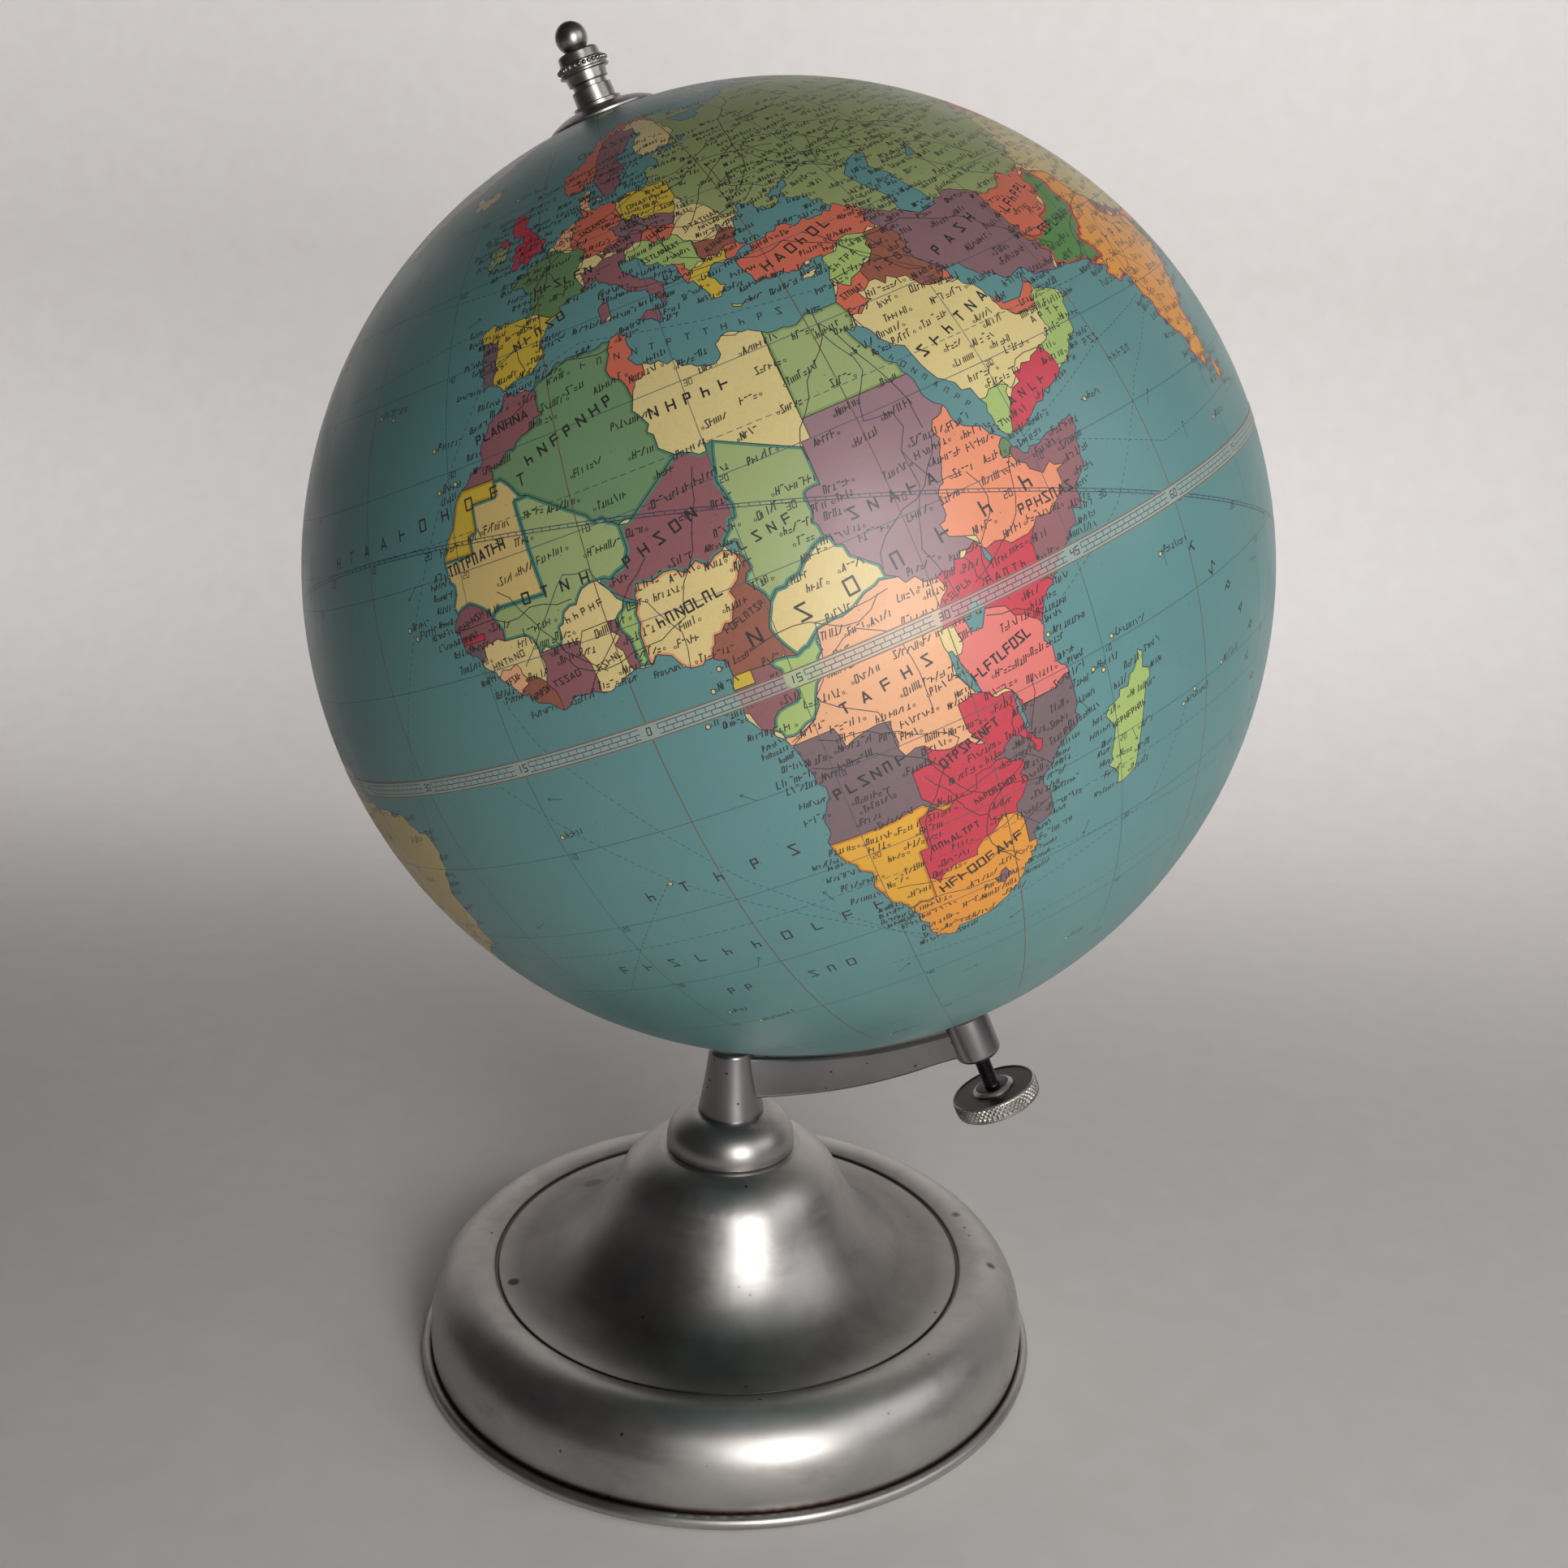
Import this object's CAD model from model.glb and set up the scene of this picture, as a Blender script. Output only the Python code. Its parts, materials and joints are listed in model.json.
import json
import math
import random

import bmesh
import bpy
import numpy as np
from mathutils import Matrix, Vector
from mathutils.geometry import delaunay_2d_cdt


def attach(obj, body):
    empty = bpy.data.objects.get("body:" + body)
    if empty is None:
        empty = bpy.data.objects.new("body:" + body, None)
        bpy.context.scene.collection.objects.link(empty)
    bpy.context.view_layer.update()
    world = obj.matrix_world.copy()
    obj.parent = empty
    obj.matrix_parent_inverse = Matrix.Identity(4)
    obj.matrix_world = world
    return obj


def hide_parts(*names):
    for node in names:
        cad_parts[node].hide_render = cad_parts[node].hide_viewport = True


# The looks of a desktop globe on a spun aluminium foot: the printed map on its paper gores, the
# turned and cast metal, and the knurled brake screw.  Metres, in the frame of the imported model.

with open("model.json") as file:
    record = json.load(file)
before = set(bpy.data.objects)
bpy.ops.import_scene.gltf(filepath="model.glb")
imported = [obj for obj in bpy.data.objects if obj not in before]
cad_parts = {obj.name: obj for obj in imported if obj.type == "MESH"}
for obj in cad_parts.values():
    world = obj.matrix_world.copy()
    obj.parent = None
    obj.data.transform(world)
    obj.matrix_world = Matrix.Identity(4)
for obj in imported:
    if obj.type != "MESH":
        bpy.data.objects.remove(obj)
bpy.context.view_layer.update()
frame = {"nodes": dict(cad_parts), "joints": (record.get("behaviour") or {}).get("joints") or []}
nodes = frame["nodes"]
MM = 0.001

# ------------------------------------------------------------------------------ sizes
CAMERA_PLACE = (92.9, -661.0, 455.5)      # mm
CAMERA_AIM = (16.7, 1.9, 231.0)
CAMERA_LENS = 44.6
CAMERA_ROLL = 1.63                        # degrees

spin = next(joint for joint in frame["joints"] if joint["name"] == "globe_spin")
TILT = math.degrees(math.atan2(-spin["axis"][0], spin["axis"][2]))
LEANING = Matrix.Rotation(math.radians(-TILT), 4, "Y")
LEAN = np.array(LEANING.to_3x3())
CENTRE = np.array(spin["pos_m"])
GLOBE = Matrix.Translation(spin["pos_m"]) @ LEANING

GLOBE_MM = 165.0                          # the printed surface
GLOBE_RADIUS = GLOBE_MM * MM
PAPER = 0.28 * MM
TAPE = 0.12 * MM
TAPE_HALF = 0.903                         # degrees of latitude
CAP_LATITUDE = 78.0
CAP_EDGE = 88.26                          # where a cap ends round the axle
FIRST_SEAM = -96.8                        # local azimuth of the prime meridian
MM_PER_DEGREE = math.radians(GLOBE_MM)    # along a meridian
FACET = 2.5                               # degrees, the longest step on the sphere
TILE_WIDE, TILE_HIGH = 5.0, 6.5           # degrees
TOUCH = 1e-5                              # degrees, closer places are one
TOUCH_DIGITS = 5
TOWN_TRIES = 9000
draw = random.Random(1963)

# ------------------------------------------------------------------------------ the map's outlines
# Longitude and latitude in whole or tenth degrees, drawn as simply as the shapes allow.
COASTS = """
africa -5.9,35.8 -2.9,35.3 -2,35.1 -0.6,35.8 1,36.5 3,36.9 5.2,36.8 7.7,37 9.8,37.3 11,37 10.6,35.8 11,35
 10.2,34.3 11.1,33.2 12.5,32.8 15.2,32.4 15.7,31.4 18,30.6 19.2,30.3 20.1,31 20,32.2 21.7,32.9 23.2,32.3
 25.1,31.6 27.5,31.1 29,30.8 30.4,31.5 32.2,31.3 32.6,30 33.6,27.8 35.1,25 35.6,23.9 37.2,21.2 37.2,19.6
 38.5,18 39.7,15.2 41.2,14.6 43.2,12.4 43.3,11.5 44.6,10.4 47,11.1 49,11.3 51.2,11.9 51.1,10.4 50.1,8
 48,4.5 45.6,2.2 43.4,0.3 41.6,-1.8 40.2,-2.7 39.2,-4.7 38.8,-6.4 39.5,-7.2 39.4,-8.8 40.5,-10.5 40.6,-14
 40,-16.2 37.4,-17.6 34.9,-19.9 35.5,-22 35.5,-24 32.8,-25.8 32.9,-27.2 32,-28.9 30.6,-30.8 28.3,-32.8
 25.7,-34 22.5,-34.1 20,-34.8 18.5,-34.3 18,-32.6 16.9,-29.3 15.2,-27 14.5,-23 13.3,-20.7 11.8,-17.9
 12.3,-15.3 13.6,-12.4 13.1,-9.5 12.3,-6.1 11,-4 9.3,-2 9.4,0.5 9.7,2.4 9.6,4 8.5,4.6 6.7,4.3 5.3,5.4
 4.2,6.4 1.2,6.1 -2,4.8 -4.5,5.2 -7.5,4.4 -9.3,5.6 -11.4,6.9 -13.2,8.8 -13.7,9.8 -15,11 -16.7,12.4
 -16.8,13.5 -17.4,14.7 -16.5,16 -16.2,18.9 -17,21 -16.3,22.5 -15,24.5 -14.4,26.2 -12.9,27.9 -10.2,29.3
 -9.8,31.4 -8.5,33.3 -6.8,34.1
eurasia -5.6,36 -6.3,36.6 -7.4,37.2 -8.9,37 -8.8,38.4 -9.5,38.8 -8.8,40.8 -8.9,42 -9.2,43.1 -8,43.7
 -4.5,43.4 -1.8,43.4 -1.2,44.7 -1.2,46 -2.5,47.3 -4.6,47.9 -4.5,48.5 -1.6,48.7 -1.8,49.6 0.2,49.6
 1.6,50.6 3.3,51.4 4.2,52.2 4.8,53 7,53.5 8.6,53.8 8.2,55.5 8.2,57 10.6,57.7 10.2,56.4 9.9,55 11,54
 13.5,54.4 14.3,53.9 17,54.7 18.7,54.4 20,54.5 21,55.5 21,57 22,57.6 24,57.1 24.4,58.3 23.6,59.1 26,59.6
 28.5,59.7 30,60 28,60.5 25,60.1 22.5,60 21.4,61 21.3,62.8 24.5,65 25,65.8 22.5,65.8 21.2,64.5 17.6,62.3
 17.2,60.7 18.9,59.7 16.8,58.5 16.4,56.7 14.3,55.5 12.9,55.5 12.5,56.4 11.2,59 10.5,59.2 8.2,58.1
 5.8,58.5 5,60.5 5.3,62.2 9,63.7 12.2,66 14.5,68 18,69.6 22,70.3 26,71 31,70.4 30,69.6 34,69.3 40.5,67.5
 41,66.5 35,66.4 33,66.6 35,64.4 38,64 40,64.6 40,65.6 44,66 44,68.4 46,68.2 46,66.8 54,68.3 60,69
 64.8,69.2 68.5,68.2 66.8,71 69,73 72.7,72.8 72.5,70.8 74,67 75,68 74.5,72 80,72.5 87,75 95,76.2 104,77.6
 112,76 107,73.5 114,73.7 124,73.6 130,71 140,72.5 150,71.4 160,69.6 170,69 180,68.8 190,66 186,64.6
 178,64.5 179.5,62.6 170,60 163.5,59.7 162,57.8 163,56 160,53.2 156.7,51 156,54 156,57 163,62.4 155,59.3
 149,59.6 142,59.2 135.5,54.6 140.5,53.8 141,52 140.3,48.5 136,44.6 131,42.8 129.5,40.8 127.5,39.6
 129.3,37 129,35.2 126.4,34.5 126.7,37 125,38 124.5,39.8 121.5,39 122,40.8 118,39 119,37.4 122.5,37.3
 119.3,35 120.8,33 121.8,31 121.5,28.5 119.5,25.5 117,23.5 114,22.2 110.5,21.3 108.5,21.8 106,19.5 107,17
 109.2,13.5 109.2,11.5 106.8,10.4 105,8.7 104.8,10.3 102.5,12 101,13.4 100,13.2 99.4,10.5 100.3,8
 103.4,4.5 104.2,1.4 101.3,2.9 100.4,5.5 98.4,8 98.7,12 97.6,16.5 95.4,15.8 94.4,17.5 92.3,21 91.5,22.6
 88.5,21.7 87,21.3 85,19.4 82.3,16.7 80.2,15.5 80.2,13 79.8,10.4 78.3,8.9 77.5,8.1 76.3,10 74.7,13.5
 73.4,16.5 72.8,19.5 72.7,21.2 72,21.2 70.5,20.8 69,22.3 70.3,22.9 68.5,23.5 67,24.8 62,25.2 58,25.6
 57,26.9 54,26.6 51.5,27.9 50,30 48,30 48.5,28.4 50.2,26.5 50.8,24.8 51.6,25.8 51.5,24.3 54,24.2
 56.2,26.2 56.5,24.3 58.7,23.6 59.8,22.4 57.8,19 55,17 52.2,15.6 49,14.2 45,12.8 43.5,12.7 42.8,15
 42.5,17 41,19.3 39,21.5 38.4,23.7 36,27 34.8,28.2 35,29.4 34.2,27.9 32.6,29.9 32.3,31.3 34.2,31.3 35,33
 35.9,35 36.1,36.7 34.5,36.7 32.6,36 30.6,36.8 29,36.5 27.3,37 26.5,39 26.4,40 29,40.4 29.1,41.1
 31.4,41.2 33.5,42 36.3,41.3 39.5,41.1 41.5,41.6 41,43.2 38,44.5 37,45.2 39,47.2 36.5,46.7 35,46.2
 36.5,45.3 34,44.4 32.6,45.4 33.6,46.1 31,46.6 29.8,45.3 28.7,44.2 27.8,42.6 28.2,41.6 29,41.2 26.7,40.4
 24,40.7 23,40 22.7,39.2 24,37.8 22.9,36.7 21.7,36.8 21,38.8 19.6,40.5 19.4,42 16.5,43.4 14.8,45 13.8,45
 12.4,45.3 12.5,44 13.7,43.1 14.5,42.2 16,41.9 18.4,40.3 17,40.5 16.8,39.5 17.1,39 16,38 15.7,40 14,40.9
 12.3,41.8 10.5,43 8.8,44.4 7,43.5 4.5,43.5 3.1,43 3.2,41.9 0.7,40.8 -0.3,39.4 0.2,38.7 -0.8,37.7 -2,36.8
 -4.4,36.7
britain -5.6,50.1 -3.5,50.3 -1.2,50.7 1.3,51.2 0.8,51.7 1.7,52.6 0.3,53 -0.2,54 -1.6,55.5 -3,56 -2,57.4
 -4,57.7 -3.1,58.6 -5,58.6 -5.8,57.4 -5.6,56.2 -5,55 -3.2,54.9 -3,53.6 -4.5,53.3 -4.2,52.4 -5.2,51.8
 -3.2,51.4 -4.5,51
ireland -6.1,52.2 -9.5,51.6 -10,52.3 -9,53.2 -10,54.2 -8.3,54.5 -7.3,55.3 -5.6,54.6 -6.1,53.5
iceland -22.5,63.9 -18.8,63.4 -14.5,64.4 -14.8,66 -18,66 -20.5,65.7 -23,66.3 -24.3,65.6 -22,65
sicily 12.5,37.9 15.5,38.2 15.1,36.7
sardinia 8.3,39 9.6,39.2 9.6,41.2 8.2,40.8
corsica 8.6,41.9 9.3,41.5 9.5,42.9 8.7,42.5
crete 23.6,35.5 26.3,35.2 26.1,35 23.6,35.2
cyprus 32.3,35 34.5,35.6 33.6,34.8
balearic 2.4,39.5 3.4,39.7 3,39.3
zealand 11,55.3 12.6,56 12.3,55.1
arctic_isle 52,71 57,70.7 56,73.5 68,76.8 60,76 54,73.3
svalbard 11,79.5 15,77 22,78.3 27,80 20,80.5
madagascar 49.3,-12.1 50.4,-15.6 49.7,-16 47.1,-24.9 45,-25.5 43.3,-22.8 44.4,-20 44.2,-16.3 47.2,-15.2
ceylon 80,9.8 81.8,7.5 80.6,5.9 79.8,7
socotra 53.4,12.6 54.5,12.5 53.8,12.3
sakhalin 142,54 143.5,49 143,46 142,46 142.2,50
hokkaido 140,41.5 141.5,45.4 145.3,43.3 143.2,42
honshu 130.9,34 132.5,35.5 136.8,37.3 139.5,38.8 140,41 141.5,41.3 142,39.5 140.8,36 138.8,34.7
 135.7,33.5 133,34.3
kyushu 130,33.5 131.8,33.4 131.2,31.3 130.2,31.3
taiwan 121.5,25.2 121,22 120.1,23.2
hainan 108.7,19.3 110.5,20 110.5,18.7 109,18.3
luzon 120.3,16 120.7,18.5 122.2,18.4 121.6,16 124,13 120.6,13.9
visayas 122,10.6 125,12.5 125,10.2 123,9.2
mindanao 122,7 123.6,8.7 125.5,9.8 126.5,7.5 125.4,5.7 124,6.6
borneo 109,1.8 111.5,2.8 113.5,3.5 117,7 119,5.2 117.7,2.8 118.9,1 117.5,0.5 116,-3.8 114.3,-4 111.8,-3.4
 110,-1.5
sumatra 95.3,5.6 97.5,5.2 100.5,2.1 103.5,-0.8 106,-3 105.8,-5.8 104.5,-5.8 102,-3.8 100.3,-0.8 98.7,1.8
java 105.2,-6.8 106.1,-5.9 108.5,-6.6 110.8,-6.4 112.6,-6.9 114.5,-7.7 114.4,-8.7 111,-8.3 108,-7.8
celebes 119,-3.4 119.9,0.8 125,1.6 121,0.5 123.3,-0.9 121.4,-1 122.8,-4.5 121.6,-4.8 120.9,-2.8
 120.3,-5.5
sunda 115.2,-8.3 119,-8.3 122.8,-8.3 122,-8.9 118.8,-9 115.3,-8.8
timor 123.6,-10.2 127.2,-8.4 125,-9.2
new_guinea 131,-0.9 134,-0.9 135,-3.3 138,-1.7 144.5,-3.8 147.8,-6 150.8,-10.3 147.7,-9.9 144,-7.7
 142.5,-9.2 138,-8.2 137.7,-5.2 133,-4 132,-2.8 134,-2.3
new_britain 148.5,-5.6 152,-4.2 151.5,-5.6 149,-6.2
australia 113.7,-22.5 114.2,-21.8 117,-20.7 121,-19.6 122.3,-17.3 124,-16.4 126.8,-14 129.5,-15 131,-12.2
 135,-12.2 137,-12.2 135.6,-15 139.5,-17.6 141,-16.5 141.7,-12.8 142.6,-10.8 143.7,-14.3 145.4,-15
 146.4,-19 149.5,-22 153,-25.3 153.5,-28.8 152.5,-32.4 150,-37.2 146.5,-39 143.5,-38.8 140.5,-38
 138.5,-35.6 138,-33 135.8,-34.8 132.5,-32 129,-31.7 124,-33.2 122,-34 118,-35 115,-34.3 115.7,-31.8
 113.7,-26.5
tasmania 144.8,-40.8 148.2,-40.9 147.5,-43.3 146,-43.5
nz_north 172.8,-34.5 175.3,-36.7 178.4,-37.7 176.8,-39.9 175.2,-41.6 173.8,-39.3 174.7,-38
nz_south 172.8,-40.6 174.2,-41.7 171.2,-44.3 169,-46.6 166.6,-45.9 170.8,-42.8
caledonia 164,-20.1 167,-22.3 166.2,-22.3
antarctica -180,-78 -160,-78 -150,-76 -135,-74.5 -115,-74 -102,-72 -90,-72.8 -75,-73 -67,-68 -61,-64
 -57,-63.3 -60,-66 -62,-70 -61,-75 -45,-78 -35,-78 -28,-76 -18,-73 -10,-71 0,-70 15,-70 30,-69.5 40,-69
 55,-66 68,-67.8 75,-69.5 88,-66.8 110,-66.2 130,-66 145,-67 160,-70 170,-72 163,-77 170,-78 180,-78
 180,-90 -180,-90
north_america -168,65.6 -162,66.5 -166,68.5 -156.5,71.3 -141,69.7 -128,70.5 -115,68 -108,68.5 -96,68
 -94,72 -90,69 -82,69.5 -81.5,67.5 -87,66 -93,62 -94.7,59 -92,57 -85,55.2 -82.2,55 -82,53 -79,51.3
 -79,54.5 -76.6,57 -78,60 -77.5,62.4 -73,62.2 -70,60.5 -69.5,58.8 -66,58.8 -64.5,60.3 -61.5,57 -57,54.5
 -55.8,52.8 -59,50.5 -66.5,50.2 -70,47 -65,49.2 -64.5,47.5 -62,45.8 -61,45.3 -65.5,43.5 -66,44.8 -70,43.7
 -70.7,41.7 -74,40.5 -75,38 -76,36 -77.5,34.5 -81,31.8 -80,27 -80.4,25.2 -81.8,26 -82.8,28.5 -84,30
 -89.5,30.2 -90,29.2 -94,29.5 -97.2,27.6 -97.8,22.4 -95.8,18.8 -94.3,18.2 -91.5,18.6 -90.4,21 -87,21.5
 -88.1,18.3 -88.8,15.9 -83.2,15 -83.7,11 -81.5,8.9 -79.5,9.5 -77.4,8.6 -78.2,7.4 -80,8.7 -80.5,7.4
 -83,8.3 -85.7,10 -87.6,12.9 -91.5,14 -94.5,16.2 -98,16.3 -102,17.9 -105.6,20.3 -105.7,22.5 -109.3,26
 -112.8,30 -114.7,31.7 -113,28.5 -110,24 -109.6,23 -112,25 -115,28 -117.2,32.6 -120.6,34.6 -122.5,37.6
 -124.3,40.4 -124,46 -124.7,48.3 -122.5,48.5 -128,51 -131,55 -137,58.5 -144,60 -149,60 -153,58 -158,56.3
 -164,54.7 -158,58.3 -162,59.7 -166,61.6 -161,64
baffin -64,65 -62,66.8 -68,69.5 -76,72 -85,73.5 -89,70.5 -78,70 -73,68 -73,65 -78,64.5 -72,62.5 -66,62.2
victoria_isle -117,69 -105,69 -105,73 -117,73 -124,71.5 -116,71
ellesmere -80,76.3 -78,79 -62,82.4 -75,83 -92,81.5 -88,77.8
greenland -43,59.9 -48,61 -51,64 -53.5,67 -51,70 -55,72.5 -58,75.5 -68,76.3 -72,78 -64,81.2 -50,82.4
 -32,83.5 -20,82 -17,80 -20,76 -22,71 -27,68.5 -36,65.8 -40.5,64.5
newfoundland -59.3,47.6 -53,46.7 -53.5,49 -55.6,51.6 -57.5,50.5 -59,48.4
cuba -84.9,21.9 -82,23.1 -77,22 -74.2,20.2 -77.7,19.9 -78.5,21.5 -82,22.3
hispaniola -74.4,18.4 -72.8,19.9 -69.9,19.7 -68.5,18.5 -71.5,17.7
south_america -77.4,8.6 -75.5,10.7 -72.2,12 -71.5,10.8 -68,10.7 -62,10.7 -60,8.5 -57,6 -52,4.8 -50,1
 -48.5,-1 -44.3,-2.5 -40,-2.9 -37,-4.8 -35.2,-5.6 -34.8,-8 -37.3,-11.5 -39,-13.5 -39,-18 -41,-22
 -44.7,-23.2 -48.5,-26 -48.7,-28.6 -52,-32.5 -54.5,-34.8 -58,-34.2 -56.8,-36.5 -62,-39 -65,-41
 -63.8,-42.5 -67.5,-46 -65.9,-47.6 -69,-51 -68.3,-52.5 -71,-53.8 -74.5,-52 -75.5,-47 -73,-42 -73.4,-38
 -71.5,-33 -71.5,-30 -70.2,-24 -70.3,-18.4 -76.3,-14 -81.2,-6 -80,-3.4 -80.9,-1 -80,0.8 -77.5,3.5 -77.5,7
fuego -68.6,-52.7 -65.2,-54.7 -69,-55.3 -74,-53.4
"""
LAKES = """
caspian 49.3,46.4 51.3,47 53,46.6 51.2,44.6 52.8,42.8 53,41 53.9,39 53.9,37.1 51,36.8 49,38 49.3,40.3
 47.6,43 47,44.8
aral 58.2,44 61,46.2 60,43.8
victoria 31.8,-1 33.5,0.4 34.2,-0.8 33.2,-2.6 32,-2.5
tanganyika 29.2,-3.4 29.6,-3.4 31.1,-8.3 30.5,-8.2 29.3,-5.8
nyasa 34,-9.6 34.4,-10.6 34.8,-13.8 34.4,-13.9 34.1,-11.8
rudolf 36,4.6 36.6,3.2 36.3,2.5 35.9,3.4
chad 13.4,13.8 14.6,13.9 14.6,12.9 13.8,12.9
ladoga 30.5,60.3 32.6,61 31,61.6
baikal 104,51.5 109.6,55.6 108.5,53.4
superior -92,46.8 -88.5,48.8 -84.6,46.6 -88,46.9
michigan -87.8,42 -86.2,42 -85,45.6 -80.2,44.6 -82.3,43.3 -81.5,45 -84.5,46 -87.6,45
erie -83.3,41.8 -79,42.9 -76.4,43.6 -79.5,43.5
"""
RIVERS = """
nile 31.2,31.4 30.9,29 32.7,25.5 32.9,24 31,21.5 30.5,19.5 33.5,19.3 33.9,17.5 32.6,15.6 32.8,12 31.5,9.5
 30.5,6.5 31.7,3 32,1
blue_nile 32.6,15.6 34.5,11.5 37.2,11.5
congo 12.4,-6 15.3,-4.3 18,0.5 22,2.2 25.2,0.5 26,-4 26,-8
kasai 16.5,-3 19,-4.8 21,-6 21.5,-10
ubangi 18,0.5 18.6,4.2 22.5,4.1 26,4.5
niger 6.2,4.3 6.7,7.8 4.5,11.5 1.5,13.5 -0.2,16.3 -3,16.6 -6,13.5 -10,9.5
zambezi 36.2,-18.8 33,-16 28.5,-17 25.5,-17.8 23,-14
orange 16.5,-28.6 20,-28.5 24,-29.3 28.5,-29.5
limpopo 33.5,-25 31,-22.5 27,-24
volga 47.8,46 46,48.5 49,52.5 46,56 38,57
don 39.5,47.2 43,48.5 39.5,51 38,54
dnieper 32,46.6 35,48.5 31,50.5 31,54
danube 29.5,45.2 24,43.8 19,45 19,47.8 14,48.5 10,48.5
rhine 4.2,51.9 7,50.5 8,48.5 8.5,47.5
vistula 19,54.3 21,52 19.5,50
loire -2,47.3 2,47.8 3.8,45.5
ebro 0.7,40.8 -1,41.8 -3.8,43
tagus -9.2,38.8 -6,39.6 -2.5,40.5
tigris 48.4,30 44,33.5 42,37
euphrates 46,31 40,35 38,38
indus 67.5,24 70.5,28.5 72,34 76,34
ganges 89,22.5 86,25.5 80,26.5 78,30
amu 59,43.5 64,39 69,37.2
syr 61,46 66,44 69,41
ural 52,47 51,51 58,53
ob 69,66.5 66,62 75,60 83,53
yenisei 82,71 87,66 92,58 92,52
lena 127,72.5 124,66 128,62 115,60 106,54
yangtze 121.5,31.5 112,29.5 104,29 98,30
yellow 118.5,38 111,35 110,40 104,37
mekong 106.5,10 105,15 101,20 98,28
amazon -50,0 -60,-3 -70,-4 -76,-5
mississippi -90,29.5 -90,38 -94,46
parana -58.5,-34 -59,-27 -50,-20
murray 139,-35.5 144,-36 148,-36
"""

# Each country: its tint, then an outline that may run past the coast, because land cuts it off.
# Later ones are laid over earlier ones.
TINTS = dict(
    sea=(92, 144, 146), cream=(224, 205, 142), green=(112, 150, 108), pale_green=(160, 178, 120),
    mauve=(146, 92, 100), plum=(152, 118, 128), wine=(135, 100, 108), flame=(212, 108, 84),
    salmon=(238, 146, 108), peach=(238, 176, 132), slate=(118, 98, 106), red=(204, 54, 78),
    pink=(228, 122, 116), amber=(234, 156, 56), gold=(232, 172, 52), leaf=(166, 192, 112),
    brown=(152, 90, 74), straw=(228, 206, 142), sand=(218, 190, 122), yellow=(214, 184, 62),
    forest=(98, 136, 90), olive=(148, 162, 106), tan=(204, 184, 120), jade=(84, 140, 76),
    rose=(206, 120, 120), ice=(214, 214, 200))
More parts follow.
